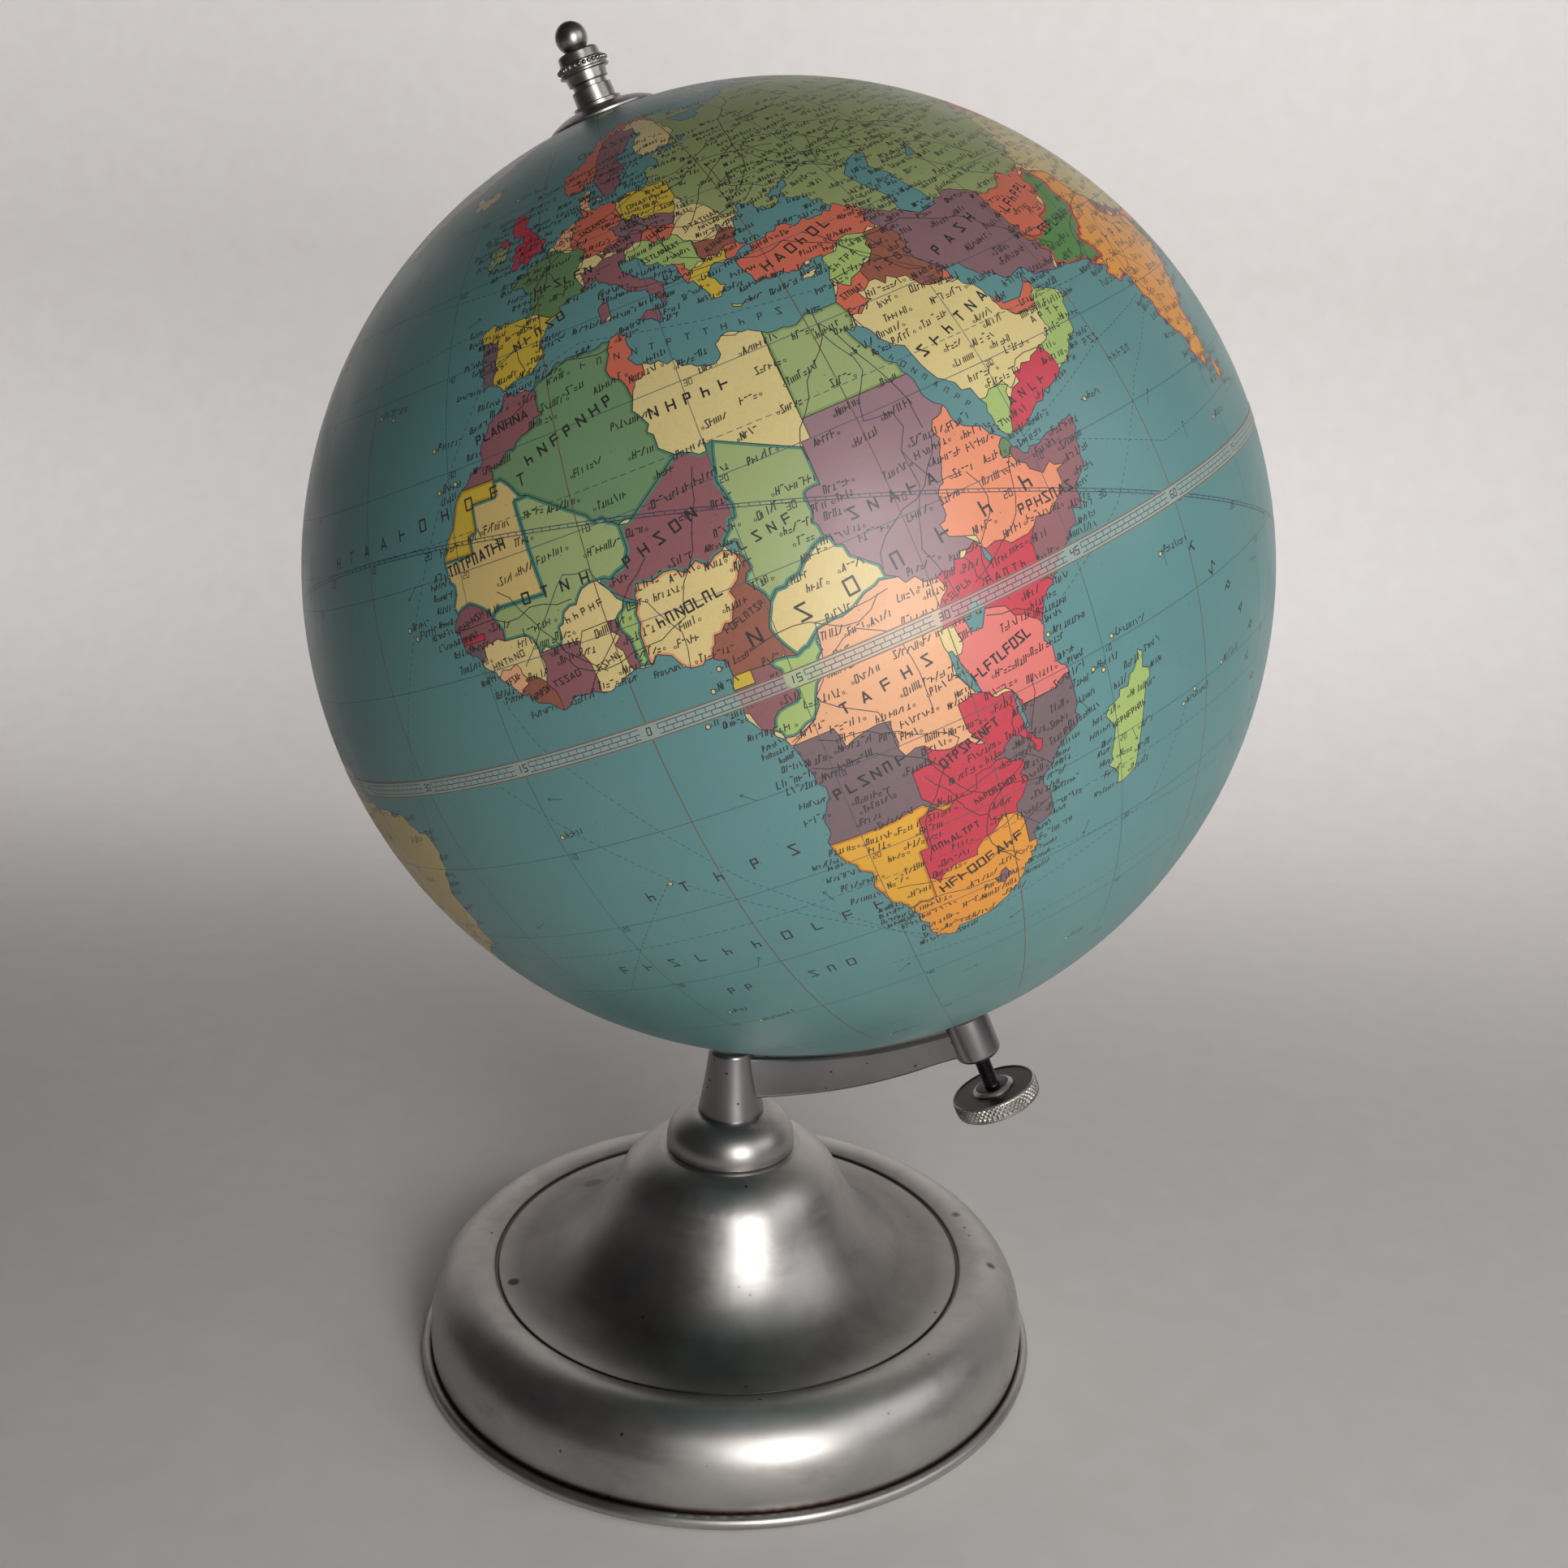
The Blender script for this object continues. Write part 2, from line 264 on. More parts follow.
COUNTRIES = """
cream everywhere -180,90 180,90 180,-90 -180,-90
rose canada -170,50 -141,60 -141,85 -50,85 -50,43 -67,45 -75,45 -83,42 -83,46 -95,49 -125,49
yellow states -125,49 -95,49 -83,46 -83,42 -75,45 -67,47 -65,44 -75,24 -97,25.8 -106.5,31.8 -117,32.5
 -126,33
olive alaska -175,50 -130,54 -141,60 -141,75 -175,75
amber mexico -117,32.5 -106.5,31.8 -97,25.8 -90,23 -86,22 -88,17.8 -92,14 -120,18
ice greenland_ice -75,90 -75,76 -55,72 -50,58 -10,68 -5,90
tan brazil -52,4.5 -60,5 -64,2 -70,1 -70,-4 -74,-7 -70,-11 -65,-11 -60,-16 -58,-20 -54,-25 -58,-30
 -53,-34 -30,-20 -30,-3 -48,2
mauve argentina -70,-22 -62,-22 -54,-25 -58,-30 -58,-34 -50,-38 -60,-56 -69,-56 -72,-50 -70,-34
leaf chile -72,-18 -70,-22 -70,-34 -72,-50 -69,-56 -80,-56 -76,-30
salmon peru -82,-5 -79,-5 -75,-1 -70,-4 -74,-7 -70,-11 -69,-17 -72,-18 -80,-14
flame venezuela -73,12 -60,12 -57,6 -60,5 -64,2 -67,2 -70,7
forest guianas -60,9 -50,6 -52,2 -60,2
rose australia_all 110,-9 155,-9 160,-45 110,-45
rose zealand_all 165,-33 180,-33 180,-50 165,-50
rose papua 141,0 155,0 155,-12 141,-12
ice antarctic -180,-60 180,-60 180,-90 -180,-90
peach indonesia 94,6 100,5 104,1 109,2 115,4 118,4 127,2 141,0 141,-11 105,-11 94,-2
pink north_borneo 109,2 115,4.2 118,4 120,8 115,8 109,3
yellow philippines 118,19 128,19 128,5 118,5
flame japan 128,34 133,37 139,46 147,46 142,30 128,30
mauve morocco -5.5,36.2 -2,35.2 -1.8,34 -1.2,32.3 -3.5,31 -5.5,29.8 -8.7,28.8 -8.7,27.6 -13.5,27.6 -13,30
 -10,34
yellow west_sahara -13.5,27.7 -8.7,27.7 -8.7,26 -12,26 -12,23.3 -13,23 -13,21.4 -17.5,21.4 -18,24
green algeria -2,35.2 -2.2,37 8.6,37.6 8.2,35.5 7.6,33.3 9,32.1 9.5,30.2 9.9,26.5 11.9,23.5 5.8,19.4
 3.2,19 3.2,19.8 1.2,21.1 -4.8,25 -8.7,27.4 -8.7,28.8 -5.5,29.8 -3.5,31 -1.2,32.3 -1.8,34
flame tunisia 8.6,37.6 12,37.6 11.6,33 11.6,32.2 10.3,31.8 9.5,30.2 9,32.1 7.6,33.3 8.2,35.5
cream libya 11.6,33.5 20,34 25.2,32 25,29.2 25,20 24,20 24,19.5 15.9,23.4 14.2,22.6 11.9,23.5 9.9,26.5
 9.5,30.2 10.3,31.8 11.6,32.2
pale_green egypt 25.2,32.5 35,32 34.9,29.6 36.5,24 37.5,22 25,22
plum sudan 25,22 38,22 38.6,18 36.9,17 36.4,14.5 35.2,12 34.1,10.5 34,8.5 33,7.9 36,4.8 35.5,4.7 30.8,3.5
 27.4,5.1 24,8.7 22.9,11 22,12.8 22.3,15.5 24,15.7 24,20 25,20
pale_green chad 15.9,23.4 24,19.5 24,15.7 22.3,15.5 22,12.8 22.9,11 19,9 15.5,7.5 14,10 15,11 14.5,13
 13.5,14 15.5,17
mauve niger 11.9,23.5 14.2,22.6 15.9,23.4 15.5,17 13.5,14.3 13,13.5 9,12.8 4,13.5 3.6,11.7 2.2,12.4
 0.3,14.5 1,15.1 3.5,15.4 4.3,16.8 4.2,19.2 5.8,19.4
pale_green mali -4.8,25 1.2,21.1 3.2,19.8 4.2,19.2 4.3,16.8 3.5,15.4 0.3,15 -2,14.2 -4,13.2 -5.4,10.4
 -8,10.2 -9,12.3 -11.5,12.4 -12.2,14.8 -11.3,15.6 -5.5,15.5 -6.5,24.9
sand mauritania -8.7,27.4 -4.8,25 -6.5,24.9 -5.5,15.5 -11.3,15.6 -12.2,14.8 -14,16.5 -16.5,16.1 -18,19
 -17.2,21.4 -13,21.4 -13,23 -12,23.3 -12,26 -8.7,26
mauve senegal -16.5,16.1 -14,16.5 -12.2,14.8 -11.5,12.4 -18,12.3 -18.5,15
red gambia -17.2,13.7 -13.8,13.7 -13.8,13.1 -17.2,13.1
slate bissau -17.5,12.4 -13.7,12.6 -13.8,11.6 -15,10.8 -17,11
straw guinea -15,10.9 -13.7,12.6 -11.5,12.4 -9,12.3 -8,10.2 -8,7.7 -9.5,7.4 -11,9.8 -13.4,9 -14.5,9.8
peach leone -13.5,9.1 -11,10 -10.3,8.4 -11.5,6.8 -13.5,7.5
brown liberia -11.5,6.8 -10.3,8.4 -9.5,8.4 -8.3,7.5 -7.5,5.8 -7.4,4.2 -9.5,4.5
mauve ivory -8.3,7.5 -8,10.3 -5.4,10.4 -2.8,9.8 -2.8,5 -4.5,4.5 -7.5,4.2 -7.5,5.8
straw volta -5.4,10.4 -4,13.2 -2,14.2 0.3,15 2.2,12.4 0.9,11 -2.8,11 -2.8,9.8
straw ghana -2.8,11 0.1,11.1 0.6,8 1.2,5.9 -2,4.5 -3,5
mauve togo 0.1,11.1 0.9,11 1.6,9 1.7,6.1 1.2,5.9 0.6,8
leaf dahomey 0.9,11 2.2,12.4 3.6,11.7 2.8,9 2.7,6 1.7,6.1 1.6,9
straw nigeria 3.6,11.7 4,13.5 9,12.8 13,13.5 14.2,12.5 13.4,10.5 11.5,7 9.5,6.5 8.6,4.5 6,3.8 2.7,6 2.8,9
brown cameroon 8.6,4.5 9.5,6.5 11.5,7 13.4,10.5 14.2,12.8 15,11 14,10 15.5,7.5 14.5,5.2 16,2 13.3,2.2
 9.6,2.2 9,4
yellow rio_muni 9.4,2.3 11.4,2.3 11.4,1 9.3,1
mauve gabon 9.4,1 11.4,1 11.4,2.3 13.3,2.2 14,1.3 14.4,-2 11.8,-2.8 11.2,-3.9 8.5,-1
leaf congo_west 13.3,2.2 16,2 18.6,3.5 17.8,0 16.2,-2.3 15.2,-4.3 12,-5 11.2,-3.9 11.8,-2.8 14.4,-2
 14,1.3
straw centrafrique 15.5,7.5 19,9 22.9,11 24,8.7 27.4,5.1 22.5,4.1 18.6,3.5 16,2 14.5,5.2
peach congo 18.6,3.5 22.5,4.1 27.4,5.1 30.8,3.5 31.3,2.2 29.7,0 29.2,-4.4 30.8,-8.3 28.4,-8.5 28.5,-11
 29.8,-13.4 27.5,-12.3 24,-11 22,-11.2 21.8,-7.3 17,-8 16.5,-5.9 12,-6 12,-5 15.2,-4.3 16.2,-2.3 17.8,0
red uganda 30.8,3.5 34,4.2 35,1.5 34,0.2 34,-1 29.6,-1.2 29.7,0 31.3,2.2
red kenya 34,4.2 35.5,5.2 36,4.4 39,3.5 41.9,4 41,2.8 41,-0.8 42,-2 39.3,-4.8 37.7,-3.2 34,-1 34,0.2
 35,1.5
straw ruanda 29,-1.2 30.6,-1.1 30.8,-3.4 29.4,-4.5 29,-2.8
pink tanganyika_land 30.6,-1.1 34,-1 37.7,-3.2 39.3,-4.8 41,-7 41,-10.6 38.5,-11.4 34.7,-11.4 34,-9.5
 31,-8.4 29.2,-5.8 29.4,-4.5 30.8,-3.4
salmon ethiopia 36.4,14.5 36.9,17 38.6,18 43.5,12.6 42.5,12.3 41.8,11 42.8,10.8 44,9 47.9,8 45,5 41.9,4
 39,3.5 36,4.4 33,7.9 34,8.5 34.1,10.5 35.2,12
forest djibouti 42.5,12.7 43.7,12.6 43.7,11 41.8,11
mauve somalia 43.3,11.8 52,12.5 52,8 46,1 42,-2 41,-0.8 41,2.8 41.9,4 45,5 47.9,8 44,9 42.8,10.8
slate angola 12,-6 16.5,-5.9 17,-8 21.8,-7.3 22,-11.2 24,-11 24,-13 22,-13 22,-16.3 23.4,-17.7 20.8,-18
 18.5,-17.4 14,-17.4 11,-17.3 11.5,-12
red rhodesia_north 24,-11 27.5,-12.3 29.8,-13.4 28.5,-11 28.4,-8.5 30.8,-8.3 33,-9.4 33.4,-12 32.8,-14
 30.2,-15.4 30.4,-15.7 28.8,-16 27,-17.9 25.2,-17.8 23.4,-17.7 22,-16.3 22,-13 24,-13
red rhodesia_south 25.2,-17.8 27,-17.9 28.8,-16 30.4,-15.7 33,-16.8 32.8,-20 31.3,-22.4 29.3,-22.2
 27.2,-20.8
red nyasaland 33,-9.4 34,-9.6 34.6,-12 34.4,-14.4 35.8,-15.8 35.2,-17 34.4,-15 32.8,-14 33.4,-12
slate mozambique 34.6,-11.5 38.5,-11.4 41,-10.6 41.5,-15 35.5,-20 36,-24 33,-26.8 32,-26.8 31.9,-24
 31.3,-22.4 32.8,-20 33,-16.8 30.4,-15.7 30.2,-15.4 32.8,-14 34.4,-15 35.2,-17 35.8,-15.8 34.4,-14.4
 34.6,-12
red bechuana 21,-18.3 23.4,-17.9 25.2,-17.8 27.2,-20.8 29.3,-22.2 27,-23.7 25.8,-25.3 23,-25.3 20.9,-26.8
 20,-24.8 20,-22 21,-22
gold southwest 11.5,-17.3 14,-17.4 18.5,-17.4 25.2,-17.8 24.5,-18 21,-18.3 21,-22 20,-22 20,-28.4
 17.4,-28.8 16,-29 13,-24
amber south_africa 16,-28.8 17.4,-28.7 20,-28.4 20,-24.8 20.9,-26.8 23,-25.3 25.8,-25.3 27,-23.7
 29.3,-22.2 31.3,-22.4 31.9,-24 32,-26.8 33.5,-26.8 32,-31 27,-35 18,-36
wine basuto 27.1,-29.6 28.6,-28.6 29.4,-29.8 28.2,-30.6
leaf madagascar_all 43,-11 51,-11 51,-26 43,-26
yellow spain -10,44.2 -1.8,43.5 0.7,42.7 3.4,42.4 4,40 0,36 -7.4,36
slate portugal -10,42.2 -8.2,42.1 -6.5,41.8 -7,39.5 -7.4,37 -10,36.5
forest france -5.5,48.8 1.6,51.2 4.2,50 6.2,49.4 8.1,49 7.5,47.5 6,46.3 7.5,43.7 9.7,43.2 9.8,41.3 5,42.6
 3.2,42.3 0.7,42.6 -2,43.2
peach benelux 2.4,51.2 4,54 7.1,53.6 6,51 6.3,49.4 4.2,50
red kingdom -8.5,59 -5,61 2.2,59 2.2,50.8 -6.5,49.5 -5.7,52.5 -5.3,54 -8.2,54.2
pale_green erin -11,51 -5.9,51.8 -5.9,54 -8.2,54.6 -11,55
flame germany 6,51 7.1,53.8 8.6,55 14.3,54.5 14.7,51 12.2,50.3 13.7,48.7 12.8,47.6 7.5,47.5 8.1,49
 6.2,49.4
peach denmark 7.8,55 13,55 12.8,58 7.5,58
straw switzerland 6,46.3 7.5,47.6 9.6,47.6 10.4,46.6 8.8,46
mauve austria 9.6,47.5 12.8,47.7 13.7,48.7 17,48.7 16.3,46.9 13.6,46.5 10.4,46.7
mauve italy 7,43.8 6.8,45.9 8.8,46 10.4,46.6 13.6,46.5 13.8,45.5 13,44 19,41 18.6,39.5 15.5,36 11.8,36.5
 11.5,41 7.8,38.5 7.8,41.3 9.8,41.3 9.7,43.3
wine czechia 12.2,50.3 14.7,51 18.8,49.6 22.4,49 22.2,48.3 17,48 13.7,48.7
yellow poland 14.3,54.5 20,55 23.5,54 23.6,51 22.4,49 18.8,49.6 14.7,51
flame hungary 16.3,46.9 17,48 22.2,48.3 21,46.2 18,45.8
leaf yugoslavia 13.4,45.5 16.3,46.9 18,45.8 21,46.2 22.6,44.4 22.5,42.3 22.9,41.3 20.5,41 19.3,42 16,43
 13.4,44.5
flame albania 19,42.5 20.5,42 20.8,40.2 20,39.6 19,40
straw romania 20.5,46.2 22.9,48 26.6,48.3 28,46 29.9,45.2 28.6,43.7 22.9,43.8 22.6,44.4
brown bulgaria 22.5,44 28.8,43.7 28.2,42 26.2,41.6 23,41.4
yellow greece 20,39.6 20.8,40.8 23,41.3 26.5,41.5 26.2,40.5 28.5,36 26.5,34.5 22,34.5 19.3,38.5
flame norway 4,58 4,63 12,68 20,71.5 31.5,71 29,69 26,69.6 22,68.5 20,69 16,67.5 14,64.5 12,62 12.5,61
 11.4,59 8,57.5
mauve sweden 11.4,59 12.5,61 12,62 14,64.5 16,67.5 20,69 24.2,67.8 24,65.6 20,63 18.5,60 20,57 14,55
 12,55.6
straw finland 20,69 22,68.5 26,69.9 29,69 30,67 30,63 31.3,62.7 27.8,60.4 21,59.5 20,63 24,65.6 24.2,67.8
olive ussr 28,46 26.6,48.3 24,49 23.6,51 23.5,54 20,55 21,59.5 27.8,60.3 31.3,62.7 30,67 29,69.5 32,72
 70,82 190,75 190,60 160,48 142,45 131,42.5 131,45 135,48 130.5,48.5 127,50 121,53.3 117,49.7 108,49.5
 98,52 87.5,49.2 82,45.3 80,42.2 74,39.5 75,37.3 71.5,37 67,37.3 64.5,36 61,36.5 57,38.2 54,37.3 51,37.5
 48.5,38.4 46,39 44.8,39.7 43.6,41.1 41.5,41.5 36,44
flame turkey 26,42.1 28.2,42 32,42.5 41.5,41.8 43.6,41.1 44.8,39.7 44.2,37.2 40,37 36.6,36.3 36,35.8
 35.8,36.3 30,35.8 26,36.5 25.6,40.2
leaf syria 35.5,36 36.6,36.5 42.3,37.2 41,34.4 36.8,32.3 35.6,32.7 35,34
brown iraq 42.3,37.2 44.8,37.2 46.2,35.5 45.5,33.5 48.5,30.5 47.9,30 46.5,29.1 42,31.2 39,32 38.8,33.4
 41,34.4
flame jordan 34,31.5 35.6,33.2 36.8,32.3 38.8,33.4 39,32 37,31.4 38,30.2 36,29.2 34.9,29.5
cream arabia 34.8,29.4 36,29.2 38,30.2 37,31.4 39,32 42,31.2 46.5,29.1 48.5,28.5 51,26.5 50.8,24.8
 52,22.8 55,22.6 55,20 52,19 48,18.2 47,16.9 44,17.3 43.2,16.6 41.5,16.5 38,21
flame kuwait 46.6,29 47.8,30.2 48.6,28.6
flame trucial 50.8,24.5 50.6,26.4 51.8,26.4 52,24.4 56,26.8 56.6,24.8 55.6,24 55.2,22.7 52,22.8
leaf oman 56.2,26.6 57,26.5 60.5,22.5 58,18.5 54,16.5 53,16.6 52,19 55,20 55.2,22.7 55.6,24 56.5,24.9
red aden 53,16.6 52,15 49,13.6 45,12.2 43.3,12.6 45,14.8 46.5,16.5 49,18.3 52,19
leaf yemen 42,17 43.2,16.8 44,17.4 46.2,17 45,14.8 43.5,12.4 42,14
wine iran 44.2,39.5 46,39 48.5,38.4 51,37 54,37.3 57,38.2 61,36.5 60.6,34 61,31.5 61.8,30.8 61,29.8
 63,27.2 61.6,25 57,25.3 54,26 50,28.5 48,30.3 45.5,33.5 46.2,35.5 44.8,37.2
flame afghan 61,36.5 64.5,36 67,37.3 71.5,37 74.8,37.3 71.5,36.2 71,34 69.4,33 69.3,31.6 66.5,31
 66.3,29.8 62.5,29.3 61,29.8 61.8,30.8 61,31.5 60.6,34
jade pakistan 61,29.8 62.5,29.3 66.3,29.8 66.5,31 69.3,31.6 71,34 71.5,36.2 74,37 75,34.5 74.3,32 74.6,31
 73,29.5 71,27.8 69.6,26.8 70.5,25.5 71,24.3 68,23.4 66,24.5 61.6,24.8 63,27.2
jade bengal 88.2,26.3 92.4,25 92.3,21 89,21.5
amber india 68,23.4 71,24.3 70.5,25.5 69.6,26.8 71,27.8 73,29.5 74.6,31 74.3,32 75,34.5 74,36.8 78,35.5
 79,32.5 81,30.1 80.2,28.7 84,27.3 88.1,26.4 88.2,27.8 89,27.2 92,27.5 97.3,28 95,26 93.3,22.4 92.3,24.9
 88.2,26.3 89,21 86,18 83,5 77.5,7 74,12 72,18 68,21.8
mauve nepal 80.2,28.9 81,30.2 88.1,27.9 88.1,26.5 84,27.3
tan china 74,39.5 80,42.2 82,45.3 87.5,49.2 91,46.5 96,42.8 105,41.6 111.5,44 117,46.5 120,47 117,49.7
 121,53.3 127,50 130.5,48.5 135,48 131,45 131,42.8 126,41.5 124,39.5 123,32 121,26 115,21 110,17 108,21.5
 105.5,23 102,22 99,23 97.8,25 97.3,28 92,27.5 89,27.2 88.2,27.8 84,28.5 81,30.2 79,32.5 78,35.5
 74.8,37.3
flame mongolia 87.5,49.2 98,52 108,49.5 117,49.7 120,47 111.5,44 105,41.6 96,42.8 91,46.5
rose korea 124,40 130,42.5 130,34 125,34
mauve burma 92.3,21 93.3,22.4 95,26 97.3,28 99,23 101,21.5 97.8,18 99.5,12 98,10 92,15
straw thailand 97.8,18 100.2,20.3 102,18 104.8,17 105.5,14.3 102.5,13 102,6.4 98,7 99.5,12
forest indochina 102,22 108.5,21.8 110,12 105,8 102.5,12 105.5,14.3 104.8,17 102,18 100.2,20.3
pink malaya 100,6.5 102.3,6.3 105,1 103,1
"""


# ------------------------------------------------------------------------------ material tools
def srgb(red, green, blue):
    """A colour given as 0 to 255 on screen, as linear light."""
    return tuple(((c / 255 + 0.055) / 1.055) ** 2.4 if c > 10 else c / 3294.6 for c in (red, green, blue))


def placed(name, data):
    """A new object in the scene."""
    piece = bpy.data.objects.new(name, data)
    bpy.context.scene.collection.objects.link(piece)
    return piece


def smooth(mesh):
    for polygon in mesh.polygons:
        polygon.use_smooth = True


class Nodes:
    """A short way to write a material's node tree."""

    def __init__(self, name):
        self.material = bpy.data.materials.new(name)
        self.material.use_nodes = True
        self.tree = self.material.node_tree
        self.shader = self.tree.nodes["Principled BSDF"]
        self.place = self.add("ShaderNodeTexCoord").outputs["Object"]

    def add(self, kind, **values):
        node = self.tree.nodes.new(kind)
        for key, value in values.items():
            setattr(node, key, value)
        return node

    def link(self, source, target):
        self.tree.links.new(source, target)

    def set(self, **values):
        for key, value in values.items():
            self.shader.inputs[key.replace("_", " ")].default_value = value

    def noise(self, scale, detail=4.0, rough=0.55, stretch=(1, 1, 1), place=None):
        mapping = self.add("ShaderNodeMapping")
        mapping.inputs["Scale"].default_value = stretch
        self.link(place or self.place, mapping.inputs["Vector"])
        texture = self.add("ShaderNodeTexNoise")
        texture.inputs["Scale"].default_value = scale
        texture.inputs["Detail"].default_value = detail
        texture.inputs["Roughness"].default_value = rough
        self.link(mapping.outputs["Vector"], texture.inputs["Vector"])
        return texture.outputs["Fac"]

    def spots(self, scale, size, soft):
        """1 in small round spots scattered in space, 0 elsewhere."""
        texture = self.add("ShaderNodeTexVoronoi")
        texture.inputs["Scale"].default_value = scale
        self.link(self.place, texture.inputs["Vector"])
        return self.ramp(texture.outputs["Distance"], (size, 1.0), (size + soft, 0.0))

    def near(self, centre, reach, soft):
        """1 within reach mm of a place, fading to 0 over soft mm more."""
        away = self.add("ShaderNodeVectorMath", operation="DISTANCE")
        self.link(self.place, away.inputs[0])
        away.inputs[1].default_value = [part * MM for part in centre]
        return self.ramp(away.outputs["Value"], (reach * MM, 1.0), ((reach + soft) * MM, 0.0))

    def ring(self, radius, height, half):
        """1 on a circle round the upright axis, fading to 0 at half mm from it."""
        parts = self.add("ShaderNodeSeparateXYZ")
        self.link(self.place, parts.inputs[0])
        across, along = [self.math("POWER", part, 2) for part in parts.outputs[:2]]
        flat = self.math("ADD", across, along)
        outward = self.math("SUBTRACT", self.math("SQRT", flat, 0), radius * MM)
        upward = self.math("SUBTRACT", parts.outputs[2], height * MM)
        away = self.math("MAXIMUM", self.math("ABSOLUTE", outward, 0), self.math("ABSOLUTE", upward, 0))
        return self.ramp(away, (0.25 * half * MM, 1.0), (half * MM, 0.0))

    def ramp(self, source, low, high):
        """Maps source from (input, output) low to high, clamped."""
        node = self.add("ShaderNodeMapRange")
        for socket, value in zip(node.inputs[1:5], (low[0], high[0], low[1], high[1])):
            socket.default_value = value
        self.link(source, node.inputs["Value"])
        return node.outputs["Result"]

    def math(self, kind, one, two):
        node = self.add("ShaderNodeMath", operation=kind)
        for socket, value in zip(node.inputs, (one, two)):
            if isinstance(value, (int, float)):
                socket.default_value = value
            else:
                self.link(value, socket)
        return node.outputs[0]

    def mix(self, amount, first, second, blend="MIX"):
        node = self.add("ShaderNodeMix", data_type="RGBA", blend_type=blend)
        sockets = (node.inputs[0], node.inputs[6], node.inputs[7])
        for socket, value in zip(sockets, (amount, first, second)):
            if isinstance(value, tuple):
                socket.default_value = value + (1,)
            elif isinstance(value, (int, float)):
                socket.default_value = value
            else:
                self.link(value, socket)
        return node.outputs[2]

    def bump(self, height, distance, strength=1.0):
        node = self.add("ShaderNodeBump")
        node.inputs["Strength"].default_value = strength
        node.inputs["Distance"].default_value = distance
        self.link(height, node.inputs["Height"])
        self.link(node.outputs["Normal"], self.shader.inputs["Normal"])

    def finish(self, colour, roughness):
        """Joins colour and roughness to the shader and hands over the material."""
        self.link(colour, self.shader.inputs["Base Color"])
        self.link(roughness, self.shader.inputs["Roughness"])
        return self.material


# ------------------------------------------------------------------------------ the printed map
def outlines(block):
    """Reads 'name lon,lat lon,lat ...' lines, where a line that starts with a space goes on."""
    result = []
    for line in block.strip().replace("\n ", " ").split("\n"):
        words = line.split()
        first = next(i for i, word in enumerate(words) if "," in word)
        points = [tuple(float(value) for value in word.split(",")) for word in words[first:]]
        result.append((words[:first], points))
    return result


BEND_LENGTHS = (0.7, 1.7, 3.0)            # degrees; a side gains a bend past each of these
LONGEST_BENT = 7                          # degrees; a longer side was ruled on the map
SLANT = 0.12                              # degrees; a side along the graticule was ruled too
BEND_ALONG, BEND_ASIDE = 0.1, 0.13


def weathered(points):
    """Breaks up the straight runs of an outline, the same way on both sides of a shared border."""
    result = []
    for one, two in zip(points, points[1:] + points[:1]):
        result.append(one)
        low, high = sorted((one, two))
        length = math.dist(low, high)
        slanting = min(abs(low[0] - high[0]), abs(low[1] - high[1])) > SLANT
        steps = 1
        if slanting and length <= LONGEST_BENT:
            steps += sum(length > limit for limit in BEND_LENGTHS)
        bends = random.Random(str((low, high)))
        run = []
        for i in range(1, steps):
            along = i / steps + bends.uniform(-BEND_ALONG, BEND_ALONG)
            side = bends.uniform(-BEND_ASIDE, BEND_ASIDE) * (1 + 1 / steps)
            run.append((low[0] + (high[0] - low[0]) * along - (high[1] - low[1]) * side,
                        low[1] + (high[1] - low[1]) * along + (high[0] - low[0]) * side))
        result += run if low == one else run[::-1]
    return result


def within(points, lon, lat):
    """Which of the places lie inside the outline."""
    hit = np.zeros(len(lon), bool)
    xs, ys = zip(*points)
    if lon.max() < min(xs) or lon.min() > max(xs) or lat.max() < min(ys) or lat.min() > max(ys):
        return hit
    for (x0, y0), (x1, y1) in zip(points, points[1:] + points[:1]):
        if y0 != y1:
            crosses = (lat < y0) != (lat < y1)
            hit ^= crosses & (lon < x0 + (lat - y0) * (x1 - x0) / (y1 - y0))
    return hit


COAST_LINES = [weathered(points) for _, points in outlines(COASTS)]
LAKE_LINES = [points for _, points in outlines(LAKES)]
COUNTRY_LINES = [(kind, weathered(points)) for kind, points in outlines(COUNTRIES)]
# Land that runs on past 180 degrees, once more from the other side.
WRAPPED = [[(lon - 360, lat) for lon, lat in points] for points in COAST_LINES
           if max(lon for lon, _ in points) > 180]


def areas(lon, lat):
    """The number of the country at each place, or -1 on water."""
    found = np.full(len(lon), -1)
    land = np.zeros(len(lon), bool)
    for points in COAST_LINES + WRAPPED:
        land |= within(points, lon, lat)
    for points in LAKE_LINES:
        land &= ~within(points, lon, lat)
    for number, (_, points) in enumerate(COUNTRY_LINES):
        found[within(points, lon, lat)] = number
    found[~land] = -1
    return found


def land_grid():
    """The area number at the middle of every half degree, for quick questions."""
    lon, lat = np.meshgrid(np.arange(-180, 180, 0.5) + 0.25, np.arange(-90, 90, 0.5) + 0.25)
    return areas(lon.ravel(), lat.ravel()).reshape(lon.shape)


def area_at(place):
    """The number of the country at a place, from the half-degree grid."""
    column = int((place[0] + 180) * 2) % 720
    row = min(359, max(0, int((place[1] + 90) * 2)))
    return GRID[row, column]


def tint(number):
    """The printed colour of a country, by its number."""
    return TINTS["sea"] if number < 0 else TINTS[COUNTRY_LINES[number][0][0]]


def degrees(place, east, north):
    """The place that lies so many millimetres east and north of another one."""
    lon, lat = place
    return (lon + east / MM_PER_DEGREE / math.cos(math.radians(lat)), lat + north / MM_PER_DEGREE)


def toward(place, distance, turn):
    """The place so many millimetres away, turned anticlockwise from east."""
    return degrees(place, distance * math.cos(turn), distance * math.sin(turn))


